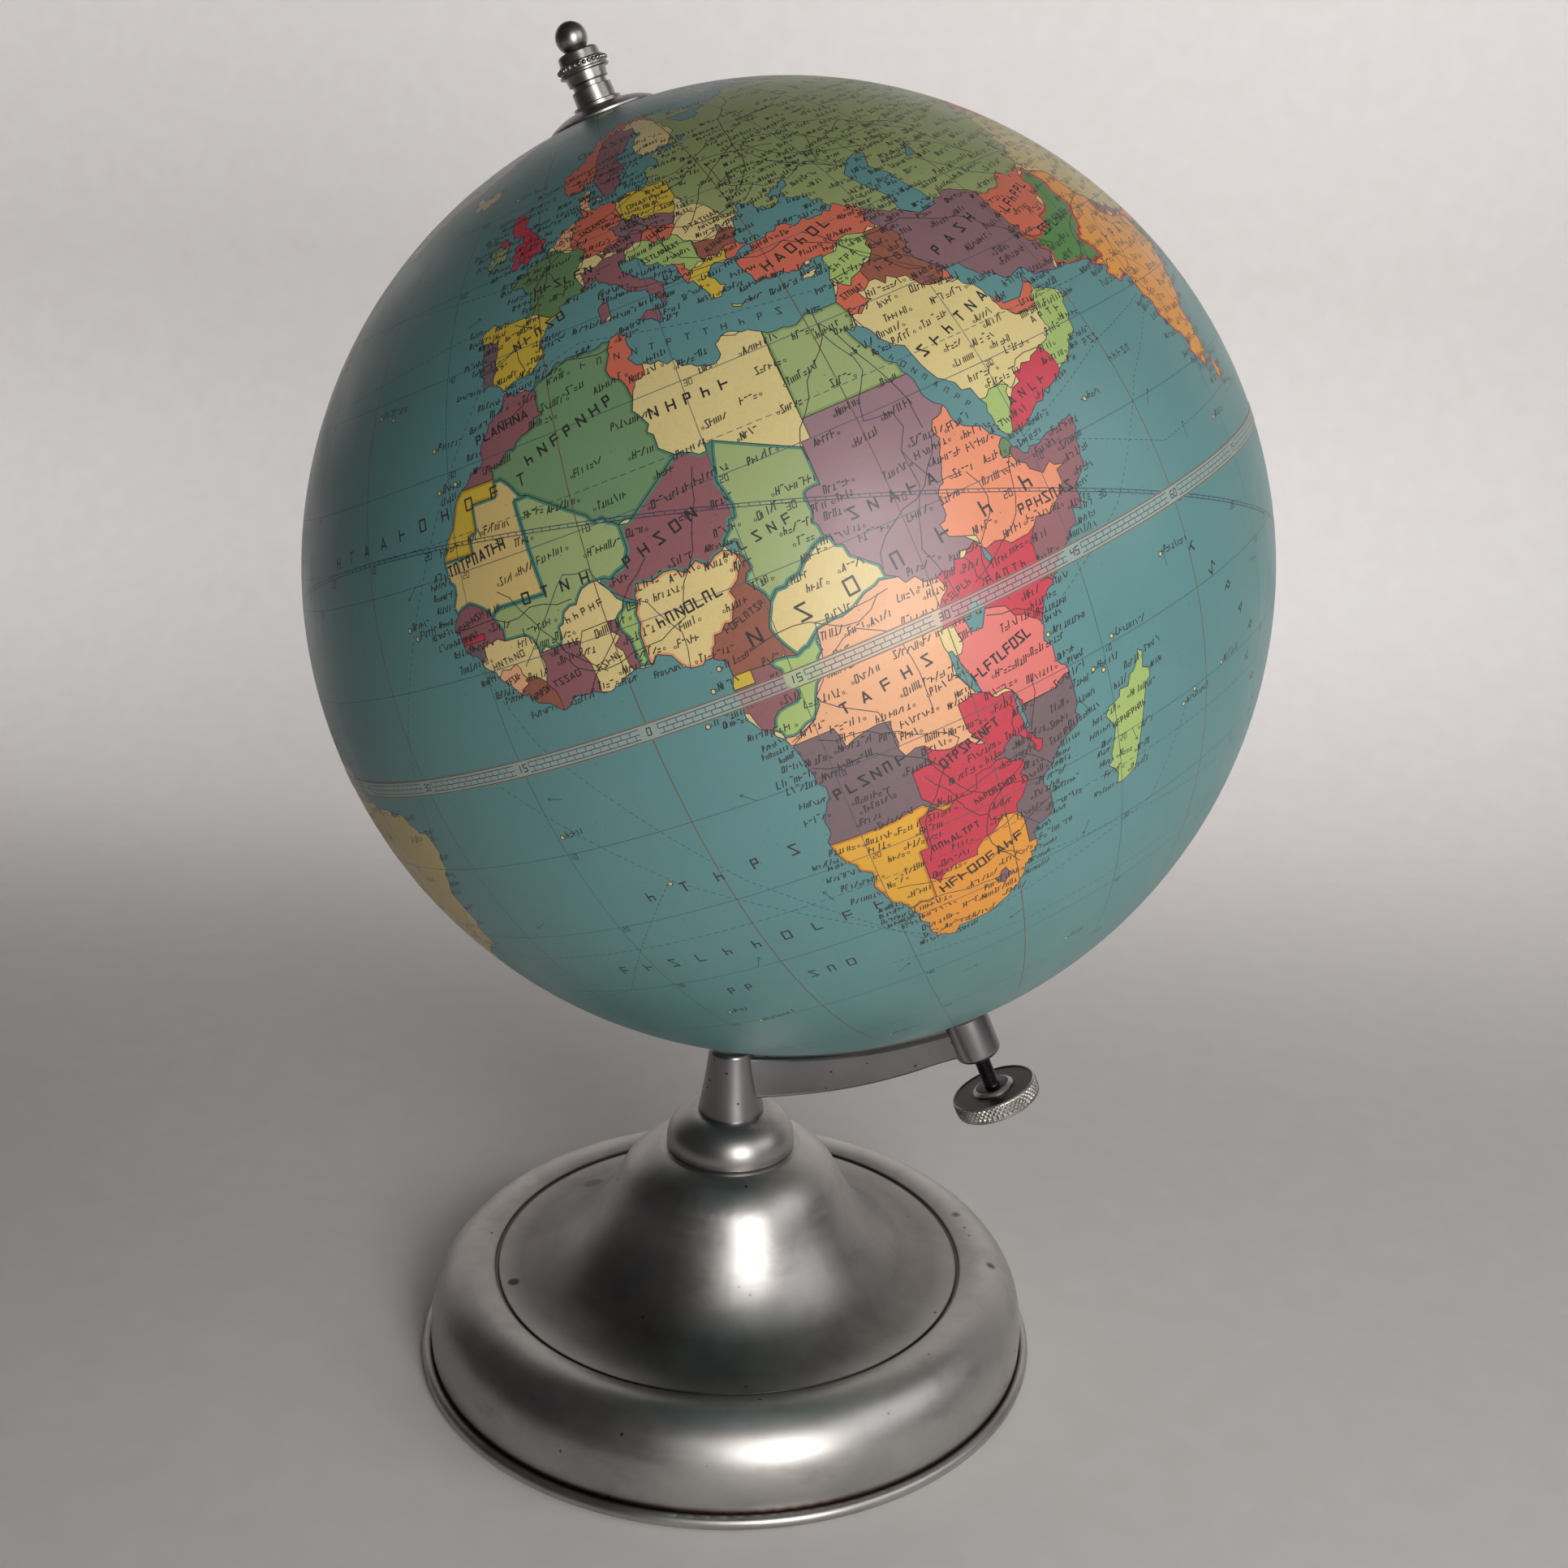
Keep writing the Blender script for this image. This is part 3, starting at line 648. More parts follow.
def cut(points, axis, limit, sign):
    """A convex outline with what lies past a limit cut off."""
    kept = []
    for one, two in zip(points, points[1:] + points[:1]):
        a, b = sign * (limit - one[axis]), sign * (limit - two[axis])
        if a >= 0:
            kept.append(one)
        if a * b < 0:
            share = a / (a - b)
            kept.append((one[0] + (two[0] - one[0]) * share, one[1] + (two[1] - one[1]) * share))
    return kept


def clip(points, window):
    """A convex outline with what lies outside the window cut off."""
    west, east, south, north = window
    for axis, limit, sign in ((0, west, -1), (0, east, 1), (1, south, -1), (1, north, 1)):
        points = cut(points, axis, limit, sign)
        if len(points) < 3:
            return []
    return points


def split(start, end, longest=FACET):
    """Points from start to end, close enough to follow the sphere."""
    steps = max(1, math.ceil(max(abs(end[0] - start[0]), abs(end[1] - start[1])) / longest))
    return [(start[0] + (end[0] - start[0]) * i / steps, start[1] + (end[1] - start[1]) * i / steps)
            for i in range(steps + 1)]


class Ink:
    """Everything that is printed over the tints, as convex outlines in degrees, in painter's order."""

    def __init__(self):
        self.marks = []

    def mark(self, points, colour, country=None):
        """Adds a convex outline, turned to run anticlockwise."""
        swept = sum(a[0] * b[1] - b[0] * a[1] for a, b in zip(points, points[1:] + points[:1]))
        self.marks.append((points if swept > 0 else points[::-1], colour, country))

    def measure(self):
        """Notes each mark's lowest and highest longitude and latitude."""
        self.low = np.array([np.min(points, axis=0) for points, _, _ in self.marks])
        self.high = np.array([np.max(points, axis=0) for points, _, _ in self.marks])

    def stroke(self, start, end, width, colour, country=None, reach=0.0):
        """A straight strip, in millimetres across, that runs on past its ends by reach."""
        shrink = math.cos(math.radians((start[1] + end[1]) / 2))
        east, north = (end[0] - start[0]) * shrink, end[1] - start[1]
        length = math.hypot(east, north)
        if length < 1e-6:
            return
        east, north = east / length, north / length
        side = width / 2 / MM_PER_DEGREE
        on = reach / MM_PER_DEGREE
        corners = []
        for (lon, lat), way in ((start, -1), (end, 1)):
            for left in (way, -way):
                corners.append((lon + (way * on * east - left * side * north) / shrink,
                                lat + way * on * north + left * side * east))
        self.mark(corners, colour, country)

    def line(self, points, width, colour, country=None, dash=None):
        """A line through points; dash is the drawn and the empty length in millimetres."""
        for start, end in zip(points, points[1:]):
            if dash:
                shrink = math.cos(math.radians(start[1]))
                long = math.hypot((end[0] - start[0]) * shrink, end[1] - start[1]) * MM_PER_DEGREE
                count = max(1, int(long / sum(dash)))
                share = dash[0] / sum(dash)
                for i in range(count):
                    at = [(start[0] + (end[0] - start[0]) * f / count,
                           start[1] + (end[1] - start[1]) * f / count) for f in (i, i + share)]
                    self.stroke(at[0], at[1], width, colour, country)
            else:
                run = split(start, end)
                for one, two in zip(run, run[1:]):
                    self.stroke(one, two, width, colour, country, width / 3)

    def glyph(self, strokes, place, height, width, lean, weight, colour):
        """One letter-like or digit shape; strokes are x0 y0 x1 y1 in a unit box, lean is turn and slope."""
        turn, slope = lean
        for x0, y0, x1, y1 in strokes:
            ends = []
            for x, y in ((x0, y0), (x1, y1)):
                east, north = x * width + y * height * slope, y * height
                ends.append(degrees(place, east * math.cos(turn) - north * math.sin(turn),
                                    east * math.sin(turn) + north * math.cos(turn)))
            self.stroke(ends[0], ends[1], weight, colour, None, weight / 4)

    def word(self, place, count, height, pitch, weight, colour, turn=0.0, slope=0.0):
        """A run of letter-like marks that spell nothing, starting at place."""
        for index in range(count):
            at = toward(place, index * pitch, turn)
            shapes = SMALL_GLYPHS if slope and index else GLYPHS
            strokes = shapes[draw.randrange(len(shapes))]
            tall = height if index == 0 or slope == 0 or draw.random() < 0.3 else height * 0.7
            wide = min(pitch * 0.66, height * 0.72)
            self.glyph(strokes, at, tall, wide, (turn, slope), weight, colour)

    def number(self, place, value, height, weight, colour):
        """A number in digits, starting at place."""
        for index, digit in enumerate(str(value)):
            at = degrees(place, index * height * 0.85, 0.0)
            self.glyph(DIGITS[digit], at, height, height * 0.55, (0.0, 0.1), weight, colour)


def strokes_of(text):
    """Shapes parted by /, each a list of strokes."""
    return [[tuple(int(c) / 4 for c in word) for word in part.split()]
            for part in text.split("/")]


# Strokes x0y0x1y1 on a grid of quarters.  The letter-like marks are shapes, not a real alphabet.
GLYPHS = strokes_of(
    "0004 0434 3430/0004 0040/0004 4044 0242/0040 0444 0440/0024 2440 1131/2024 0444/0004 0242/"
    "0004 0444 0242/0004 4440 0440/0040 4044 4404 0400/0004 0434 3432 3202/0004 0232 3230")
SMALL_GLYPHS = strokes_of(
    "0004/0044/2024/0004 0242/0440/0004 0434/2024 0040/0444/0004 3430/0242 0040")
DIGITS = dict(zip("0123456789", strokes_of(
    "0040 4044 4404 0400/2024/0444 4442 4202 0200 0040/0444 4440 4000 0242/0402 0242 4044/"
    "4404 0402 0242 4240 4000/4404 0400 0040 4042 4202/0444 4410/0040 4044 4404 0400 0242/"
    "0040 4044 4404 0402 0242")))


def border_edges():
    """Where two areas meet: pieces of line with the area on each side, found once for the whole map."""
    places, edges = [], []
    for points in [p for _, p in COUNTRY_LINES[1:]] + COAST_LINES + WRAPPED + LAKE_LINES:
        for one, two in zip(points, points[1:] + points[:1]):
            run = split(one, two)
            for start, end in zip(run, run[1:]):
                edges.append((len(places), len(places) + 1))
                places += [Vector(start), Vector(end)]
    spots, _, faces, _, _, _ = delaunay_2d_cdt(places, edges, [], 0, TOUCH, False)
    spots = np.array(spots)
    corners = np.array(faces)
    middle = spots[corners].mean(axis=1)
    number = areas(middle[:, 0], middle[:, 1])
    owners = {}
    for index, face in enumerate(corners):
        for one, two in zip(face, np.roll(face, -1)):
            owners.setdefault((min(one, two), max(one, two)), []).append(number[index])
    return [(tuple(spots[one]), tuple(spots[two]), sides[0], sides[1])
            for (one, two), sides in owners.items() if len(sides) == 2 and sides[0] != sides[1]]


# ------------------------------------------------------------------------------ what is printed
INK = (34, 34, 40)
BLUE = (40, 56, 86)
PALE_BLUE = (58, 84, 108)
SEAM = (116, 84, 62)
TEAL = (70, 138, 122)

# Widths of printed lines, in millimetres.
SEAM_LINE, GRID_LINE, TROPIC_LINE = 0.32, 0.22, 0.2
COAST_LINE, BORDER_LINE, BORDER_BAND = 0.28, 0.26, 1.5
RIVER_LINE, RAIL_LINE, LANE_LINE, ARROW_LINE = 0.26, 0.26, 0.2, 0.2
PATH_RAIL, PATH_RUNG, PATH_HALF = 0.25, 0.22, 0.17       # the last in degrees
TAPE_RAIL, TAPE_LADDER, TAPE_RUNG = 0.34, 0.24, 0.22
# Letters: height and width of a stroke in millimetres, or the stroke as a share of the height.
DEGREE_TEXT, PATH_TEXT, TAPE_TEXT = (1.6, 0.24), (1.9, 0.28), (2.1, 0.32)
GREAT_STROKE, COUNTRY_STROKE = 0.16, 0.2
# Town names: pitch and height where towns are crowded and where they aren't, and the stroke.
CROWDED, OPEN_LAND, TOWN_STROKE = (1.0, 1.65), (1.3, 2.05), 0.36
TOWN_DOT, ISLAND_DOT = (0.5, 0.26), (0.9, 0.6)           # outer and inner radius


def lay_graticule(ink):
    """Meridians every 15 degrees, every second one a paper seam, parallels every 10 with their
    numbers, and the tropics and polar circles dashed."""
    for lon in range(-180, 180, 15):
        seam = lon % 30 == 0
        width, colour = (SEAM_LINE, SEAM) if seam else (GRID_LINE, PALE_BLUE)
        ink.line([(lon + 0.001, -88), (lon + 0.001, 88)], width, colour)
    for lat in range(-80, 81, 10):
        if lat:
            ink.line([(-180, lat), (180, lat)], GRID_LINE, PALE_BLUE)
    for lat in (-66.5, -23.5, 23.5, 66.5):
        ink.line([(-180, lat), (180, lat)], TROPIC_LINE, BLUE, None, (1.8, 1.0))
    for lon in range(-165, 180, 30):
        for lat in range(-60, 61, 10):
            if lat:
                ink.number(degrees((lon, lat), 0.6, -1.9), abs(lat), *DEGREE_TEXT, INK)


def ecliptic(lon):
    """The latitude of the sun's yearly path."""
    return math.degrees(math.atan(math.tan(math.radians(TILT)) * math.cos(math.radians(lon + 30))))


def lay_ecliptic(ink):
    """A fine ladder along the sun's yearly path, numbered every ten degrees."""
    for index in range(360):
        lon = index - 180.0
        here, there = ecliptic(lon), ecliptic(lon + 1)
        for side in (-PATH_HALF, PATH_HALF):
            ink.stroke((lon, here + side), (lon + 1, there + side), PATH_RAIL, BLUE)
        ink.stroke((lon, here - PATH_HALF), (lon, here + PATH_HALF), PATH_RUNG, BLUE)
        if index % 10 == 0:
            day = (10, 20, 30)[index // 10 % 3]
            ink.number(degrees((lon, here), 0.5, -2.8), day, *PATH_TEXT, INK)


def lay_borders(ink):
    """A tinted band inside some countries' borders, then the border and coast lines over it."""
    for start, end, one, two in EDGES:
        for number in (one, two):
            band = BANDED.get(COUNTRY_LINES[number][0][1]) if number >= 0 else None
            if band:
                ink.stroke(start, end, BORDER_BAND, band, number, 0.2)
    for start, end, one, two in EDGES:
        coast = min(one, two) < 0
        width, colour = (COAST_LINE, BLUE) if coast else (BORDER_LINE, INK)
        ink.stroke(start, end, width, colour, None, 0.07)


def lay_rivers(ink):
    """Rivers, with small random bends between the places given."""
    for _, points in outlines(RIVERS):
        crooked = [points[0]]
        for one, two in zip(points, points[1:]):
            steps = max(1, round(math.dist(one, two) / 1.6))
            for i in range(1, steps + 1):
                loose = 0.0 if i == steps else 0.22
                crooked.append((one[0] + (two[0] - one[0]) * i / steps + draw.uniform(-loose, loose),
                                one[1] + (two[1] - one[1]) * i / steps + draw.uniform(-loose, loose)))
        ink.line(crooked, RIVER_LINE, BLUE)


def lay_sea_lanes(ink):
    """Dashed steamer routes, and short arrows for the currents."""
    for lane in LANES:
        ink.line(lane, LANE_LINE, BLUE, None, (1.2, 0.9))
    for lon, lat, turn in ARROWS:
        turn = math.radians(turn)
        tip = toward((lon, lat), 5, turn)
        ink.stroke((lon, lat), tip, ARROW_LINE, INK)
        for side in (2.6, -2.6):
            ink.stroke(tip, toward(tip, 1.1, turn + side), ARROW_LINE, INK)


class Room:
    """Keeps labels off each other, on a grid of CELL degrees probed every STEP millimetres."""
    CELL, STEP, BELOW = 0.3, 0.7, 0.3

    def __init__(self):
        self.taken = set()

    def take(self, place, wide, high, turn=0.0):
        """Claims a slanting box if all of it is free, and says whether it was."""
        cells = set()
        for i in range(int(wide / self.STEP) + 1):
            for j in range(int(high / self.STEP) + 2):
                east, north = i * self.STEP, j * self.STEP - self.BELOW
                spot = degrees(place, east * math.cos(turn) - north * math.sin(turn),
                               east * math.sin(turn) + north * math.cos(turn))
                cells.add((round(spot[0] / self.CELL), round(spot[1] / self.CELL)))
        if cells & self.taken:
            return False
        self.taken |= cells
        return True


def lay_names(ink, room):
    """Widely spaced letter-like marks on the oceans and countries."""
    for place, count, height, pitch, turn in GREAT_NAMES:
        turn = math.radians(turn)
        room.take(place, count * pitch, height, turn)
        ink.word(place, count, height, pitch, height * GREAT_STROKE, INK, turn)
    for kind, points in COUNTRY_LINES:
        lon = np.array([p[0] for p in points])
        lat = np.array([p[1] for p in points])
        middle = (lon.mean(), lat.mean())
        shrink = math.cos(math.radians(middle[1]))
        wide = (lon.max() - lon.min()) * shrink * MM_PER_DEGREE
        if wide > 300 or wide < 9:
            continue
        count = min(len(kind[1]), 9)
        height = min(2.9, max(1.7, wide / 12))
        pitch = min(0.62 * wide / count, height * 2.2)
        turn = math.radians(draw.choice((0, 8, 16)))
        start = toward(middle, -count * pitch / 2, turn)
        if area_at(middle) >= 0 and room.take(start, count * pitch, height, turn):
            ink.word(start, count, height, pitch, height * COUNTRY_STROKE, INK, turn)


def spacing(lon, lat):
    """The room that a town's name keeps to itself, in mm of height."""
    europe = -11 < lon < 62 and 35 < lat < 62
    africa = -20 < lon < 56 and -36 < lat < 36
    desert = 14 < lat < 31 and lon < 34
    west_asia = 45 < lon < 92 and 6 < lat < 60
    if europe:
        return 1.3
    if africa:
        return 5.0 if desert else 1.7
    if west_asia:
        return 1.8
    return 4.5


def lay_towns(ink, room):
    """Towns over the land, most of them round Africa, Europe and west Asia, and then along the
    coasts, with their names out to sea."""
    for _ in range(TOWN_TRIES):
        lat = math.degrees(math.asin(draw.uniform(-0.82, 0.95)))
        lon = draw.uniform(-180, 180)
        if draw.random() < 0.62:
            lon, lat = draw.uniform(-18, 90), draw.uniform(-35, 62)
        if area_at((lon, lat)) < 0:
            continue
        town(ink, room, (lon, lat), spacing(lon, lat), draw.choice((-1, 1)))
    for start, _, one, two in EDGES:
        if min(one, two) < 0 and draw.random() < 0.95 and abs(start[1]) < 62:
            seaward = 1 if area_at(degrees(start, 2.5, 0)) < 0 else -1
            town(ink, room, start, 1.0, seaward)


def town(ink, room, place, apart, side):
    """A town's ring and its name, to the east if side is 1, if there is room for them."""
    count = draw.randint(4, 9)
    pitch, height = CROWDED if apart < 1.5 else OPEN_LAND
    wide = count * pitch
    turn = math.radians(draw.uniform(-3, 10))
    east, north = (0.8, -0.4) if side > 0 else (-wide - 0.8, -0.4 - wide * math.sin(turn))
    start = degrees(place, east, north)
    if not room.take(start, wide, apart, turn):
        return
    ink.word(start, count, height, pitch, TOWN_STROKE, INK, turn, 0.25)
    dot(ink, place, TOWN_DOT, tint(area_at(place)))


def dot(ink, place, sizes, colour):
    """An inked hexagon with a smaller one of another colour on it."""
    for radius, fill in zip(sizes, (INK, colour)):
        ink.mark([toward(place, radius, turn) for turn in np.arange(6) * math.pi / 3], fill)


def lay_islands(ink, room):
    """Islands too small to outline."""
    for place in ISLANDS:
        dot(ink, place, ISLAND_DOT, TINTS["straw"])
        town(ink, room, degrees(place, 0.8, 0), 1.6, 1)


def lay_roads(ink):
    """Thin railways that wander from town to town."""
    for lon, lat, turn in RAIL_STARTS:
        here = (lon, lat)
        way = math.radians(turn)
        for _ in range(RAIL_STEPS):
            way += draw.uniform(-0.5, 0.5)
            there = toward(here, 4.5, way)
            if area_at(there) < 0:
                break
            ink.line([here, there], RAIL_LINE, INK)
            here = there


# ------------------------------------------------------------------------------ paper
PAPER_BACK = (186, 176, 156)


def on_globe(lon, lat, radius):
    """Places on the tilted globe, from arrays of degrees."""
    turn, rise = np.radians(lon + FIRST_SEAM), np.radians(lat)
    local = np.stack([np.cos(rise) * np.cos(turn), np.cos(rise) * np.sin(turn), np.sin(rise)], 1)
    return local @ LEAN.T * radius + CENTRE, local @ LEAN.T


def rim_of(window):
    """The window's outline, in steps that follow the sphere."""
    west, east, south, north = window
    corners = [(west, south), (east, south), (east, north), (west, north)]
    rim = []
    for one, two in zip(corners, corners[1:] + corners[:1]):
        rim += split(one, two)[:-1]
    return rim


def grid_in(window, step):
    """Places inside the window that keep the sheet round."""
    west, east, south, north = window
    lons = np.linspace(west, east, max(2, round((east - west) / step)) + 1)[1:-1]
    lats = np.linspace(south, north, max(2, round((north - south) / step)) + 1)[1:-1]
    return [(lon, lat) for lon in lons for lat in lats]


def triangulate(window, marks, edges):
    """The window cut along every printed mark and border: places, triangles and each one's top mark."""
    rim = rim_of(window)
    places = [Vector(p) for p in rim]
    faces = [list(range(len(rim)))]
    kept = [None]
    for mark in marks:
        faces.append(list(range(len(places), len(places) + len(mark[0]))))
        places += [Vector(p) for p in mark[0]]
        kept.append(mark)
    lines = []
    for start, end in edges:
        lines.append((len(places), len(places) + 1))
        places += [Vector(start), Vector(end)]
    places += [Vector(p) for p in grid_in(window, FACET)]
    spots, _, triangles, _, _, owners = delaunay_2d_cdt(places, lines, faces, 0, TOUCH, True)
    spots, triangles = np.array(spots), np.array(triangles)
    middle = spots[triangles].mean(axis=1)
    west, east, south, north = window
    inside = ((middle[:, 0] > west) & (middle[:, 0] < east)
              & (middle[:, 1] > south) & (middle[:, 1] < north))
    owners = [owner for owner, use in zip(owners, inside) if use]
    return spots, triangles[inside], middle[inside], owners, kept


def covers(mark, place):
    """A mark's outline can't own a triangle outside its own box, whatever the triangulation says."""
    return all(min(p[k] for p in mark[0]) <= place[k] <= max(p[k] for p in mark[0]) for k in (0, 1))


def sheet_colours(middle, owners, kept, shade):
    """One colour for each triangle: the topmost mark that counts there, or else the land's tint."""
    number = areas(middle[:, 0], middle[:, 1])
    palette = []
    for index, owner in enumerate(owners):
        colour = tint(number[index])
        for mark in sorted(owner, reverse=True):
            if kept[mark] is None:
                continue
            _, ink_colour, country = kept[mark]
            if country in (None, number[index]) and covers(kept[mark], middle[index]):
                colour = ink_colour
                break
        else:
            colour = shade(colour)
        palette.append(srgb(*colour) + (1.0,))
    return np.array(palette)


def loose_sides(triangles):
    """The sides that no neighbour shares, with the triangle that each belongs to."""
    owner = {}
    for index, (one, two, three) in enumerate(triangles):
        owner[one, two] = owner[two, three] = owner[three, one] = index
    return {side: index for side, index in owner.items() if side[::-1] not in owner}


def close_slits(spots, triangles, colours):
    """Cuts a side where two tiles meet and a corner of one lies part way along a side of the other."""
    triangles, colours = [tuple(t) for t in triangles.tolist()], colours.tolist()
    for _ in range(5):
        loose = loose_sides(triangles)
        follow = {}
        for one, two in loose:
            follow.setdefault(one, []).append(two)
        done = set()
        for (one, two), index in loose.items():
            for middle in follow.get(two, []):
                a, b, c = spots[one], spots[middle], spots[two]
                between = 0 < np.dot(b - a, c - a) < np.dot(c - a, c - a)
                straight = abs(np.cross(b - a, c - a)) <= 1e-9
                if index in done or middle == one or not between or not straight:
                    continue
                third = next(corner for corner in triangles[index] if corner not in (one, two))
                triangles[index] = (one, middle, third)
                triangles.append((middle, two, third))
                colours.append(colours[index])
                done.add(index)
        if not done:
            break
    return np.array(triangles), np.array(colours)


def printed_sheet(name, window, outer, inner, ink, shade=lambda colour: colour):
    """A thin sheet of printed paper over a window of west, east, south, north, with its own back."""
    tops = [printed_tile(tile, ink, shade) for tile in tiles_of(window)]
    spots, triangles, colours, before = [], [], [], 0
    for tile_spots, tile_triangles, tile_colours in tops:
        spots.append(tile_spots)
        triangles.append(tile_triangles + before)
        colours.append(tile_colours)
        before += len(tile_spots)
    spots = np.round(np.concatenate(spots), TOUCH_DIGITS)
    colours = np.concatenate(colours)
    spots, flat = np.unique(spots, axis=0, return_inverse=True)
    triangles = flat.ravel()[np.concatenate(triangles)]
    whole = ((triangles[:, 0] != triangles[:, 1]) & (triangles[:, 1] != triangles[:, 2])
             & (triangles[:, 2] != triangles[:, 0]))
    triangles, colours = close_slits(spots, triangles[whole], colours[whole])
    count = len(spots)
    top, normals = on_globe(spots[:, 0], spots[:, 1], outer)

    west, east, south, north = window
    limits = ((0, west), (0, east), (1, south), (1, north))
    rim = [(one, two) for one, two in sorted(loose_sides(triangles.tolist()))
           if any(abs(spots[one][k] - limit) + abs(spots[two][k] - limit) < 1e-4 for k, limit in limits)]
    rim_spots = sorted({one for pair in rim for one in pair})
    under_places = [Vector(spots[one]) for one in rim_spots]
    under_places += [Vector(p) for p in grid_in(window, FACET)]
    under_spots, _, under, _, _, _ = delaunay_2d_cdt(under_places, [], [], 0, 1e-7, False)
    under_spots = np.array(under_spots)
    under_keys = np.round(under_spots, TOUCH_DIGITS).tolist()
    found = {tuple(spot): count + i for i, spot in enumerate(under_keys)}
    below = {one: found[tuple(spots[one].tolist())] for one in rim_spots}
    bottom, _ = on_globe(under_spots[:, 0], under_spots[:, 1], inner)
    faces = triangles.tolist()
    faces += [[two, one, below[one], below[two]] for one, two in rim]
    faces += [[count + i for i in reversed(face)] for face in under]
    mesh = bpy.data.meshes.new(name)
    mesh.from_pydata(np.concatenate([top, bottom]).tolist(), [], faces)
    layer = mesh.color_attributes.new("print", "FLOAT_COLOR", "CORNER")
    paint = np.tile(np.array(srgb(*PAPER_BACK) + (1.0,)), (len(mesh.loops), 1))
    paint[:3 * len(triangles)] = np.repeat(colours, 3, axis=0)
    layer.data.foreach_set("color", paint.ravel().astype(np.float32))
    smooth(mesh)
    away = np.concatenate([normals, np.zeros((len(bottom), 3))])
    mesh.normals_split_custom_set_from_vertices(away.tolist())
    return placed(name, mesh)


def tiles_of(window):
    """The window in tiles small enough to triangulate quickly."""
    west, east, south, north = window
    lons = np.linspace(west, east, max(1, round((east - west) / TILE_WIDE)) + 1)
    lats = np.linspace(south, north, max(1, round((north - south) / TILE_HIGH)) + 1)
    return [(a, b, c, d) for a, b in zip(lons, lons[1:]) for c, d in zip(lats, lats[1:])]


def printed_tile(window, ink, shade):
    """One tile's places, triangles and colours."""
    west, east, south, north = window
    low, high = ink.low, ink.high
    near = (low[:, 0] < east) & (high[:, 0] > west) & (low[:, 1] < north) & (high[:, 1] > south)
    marks = []
    for index in np.nonzero(near)[0]:
        points, colour, country = ink.marks[index]
        within_lon = low[index][0] >= west and high[index][0] <= east
        within_lat = low[index][1] >= south and high[index][1] <= north
        if not (within_lon and within_lat):
            points = clip(points, window)
        if points:
            marks.append((points, colour, country))
    low, high = EDGE_ENDS.min(axis=1), EDGE_ENDS.max(axis=1)
    near = (low[:, 0] <= east) & (high[:, 0] >= west) & (low[:, 1] <= north) & (high[:, 1] >= south)
    edges = [clip_line(start, end, window) for start, end in EDGE_ENDS[near].tolist()]
    spots, triangles, middle, owners, kept = triangulate(window, marks, [e for e in edges if e])
    return spots, triangles, sheet_colours(middle, owners, kept, shade)


def clip_line(start, end, window):
    """The part of a line inside the window, or None."""
    west, east, south, north = window
    low, high = 0.0, 1.0
    for axis, least, most in ((0, west, east), (1, south, north)):
        step = end[axis] - start[axis]
        if abs(step) < 1e-12:
            if not least <= start[axis] <= most:
                return None
            continue
        one, two = sorted(((least - start[axis]) / step, (most - start[axis]) / step))
        low, high = max(low, one), min(high, two)
    if high - low < 1e-9:
        return None
    return [tuple(start[k] + (end[k] - start[k]) * share for k in (0, 1)) for share in (low, high)]

# Teal bands run inside the borders of these countries, and a few have a band of another tint.
TEAL_BANDS = "mauritania chad centrafrique mali congo_west niger dahomey"
BANDED = dict.fromkeys(TEAL_BANDS.split(), TEAL)
BANDED.update(nigeria=(232, 158, 112), pakistan=(204, 70, 60), india=(206, 84, 60), egypt=(132, 160, 92),
              algeria=(84, 128, 96), west_sahara=(186, 150, 40), southwest=(206, 132, 40))

# Place of the first letter, letters, height and pitch in mm, and turn in degrees.
GREAT_NAMES = [
    ((12.5, 4.2), 7, 4.2, 14.5, 6), ((-9, -17.5), 5, 3.2, 11.5, 2), ((-20, -27), 10, 3.2, 9.5, 0),
    ((-9, -33.5), 2, 3.0, 6.0, 0), ((2, -34), 3, 3.0, 6.0, 0), ((-38, 24), 10, 3.2, 9.5, 4),
    ((60, -6), 5, 3.2, 12.0, -50), ((70, -22), 6, 3.2, 12.0, -55), ((4.5, 35.2), 12, 1.9, 5.0, -8),
    ((58, 17), 3, 1.9, 2.4, 0), ((60, 14.5), 5, 1.9, 2.4, 0), ((36, 24), 8, 1.6, 3.4, -58),
    ((60, 62), 5, 3.6, 9.0, 0), ((-160, 8), 5, 4.0, 16.0, 0), ((-150, -20), 9, 4.0, 14.0, 0),
    ((-120, -48), 8, 4.0, 14.0, 0), ((80, -45), 6, 3.6, 14.0, 0), ((-70, -4), 8, 4.0, 9.0, -8),
    ((-110, 44), 8, 4.0, 10.0, 0), ((95, 58), 6, 4.0, 12.0, 0), ((120, -25), 9, 4.0, 8.5, 0)]
# Steamer lanes, as longitudes and latitudes.
LANES = [
    [(-17, 14), (-12, 2), (2, -18), (17, -34)], [(-9, 38), (-16, 28), (-30, 5), (-35, -8)],
    [(-10, 44), (-35, 42), (-70, 41)], [(-5, 48), (-30, 50), (-55, 47)],
    [(44, 12), (62, 5), (80, 6)], [(45, 12), (60, 17), (72, 19)],
    [(36, 33), (20, 35), (5, 38), (-5, 36)], [(19, -35), (50, -30), (57, -20)],
    [(41, -4), (52, 2), (62, 12), (72, 18)], [(32, -29), (60, -32), (114, -32)],
    [(80, 5), (95, 6), (100, 4)], [(103, 1), (110, 10), (114, 22)],
    [(-6, -16), (-22, -30), (-50, -35)], [(18, -34), (-5, -16), (-20, 0)], [(140, 34), (180, 38)],
    [(-180, 38), (-125, 38)], [(-158, 21), (-122, 36)], [(153, -30), (180, -28)],
    [(-180, -28), (-120, -15), (-80, 5)], [(12, -36), (30, -38), (70, -38), (115, -36)]]
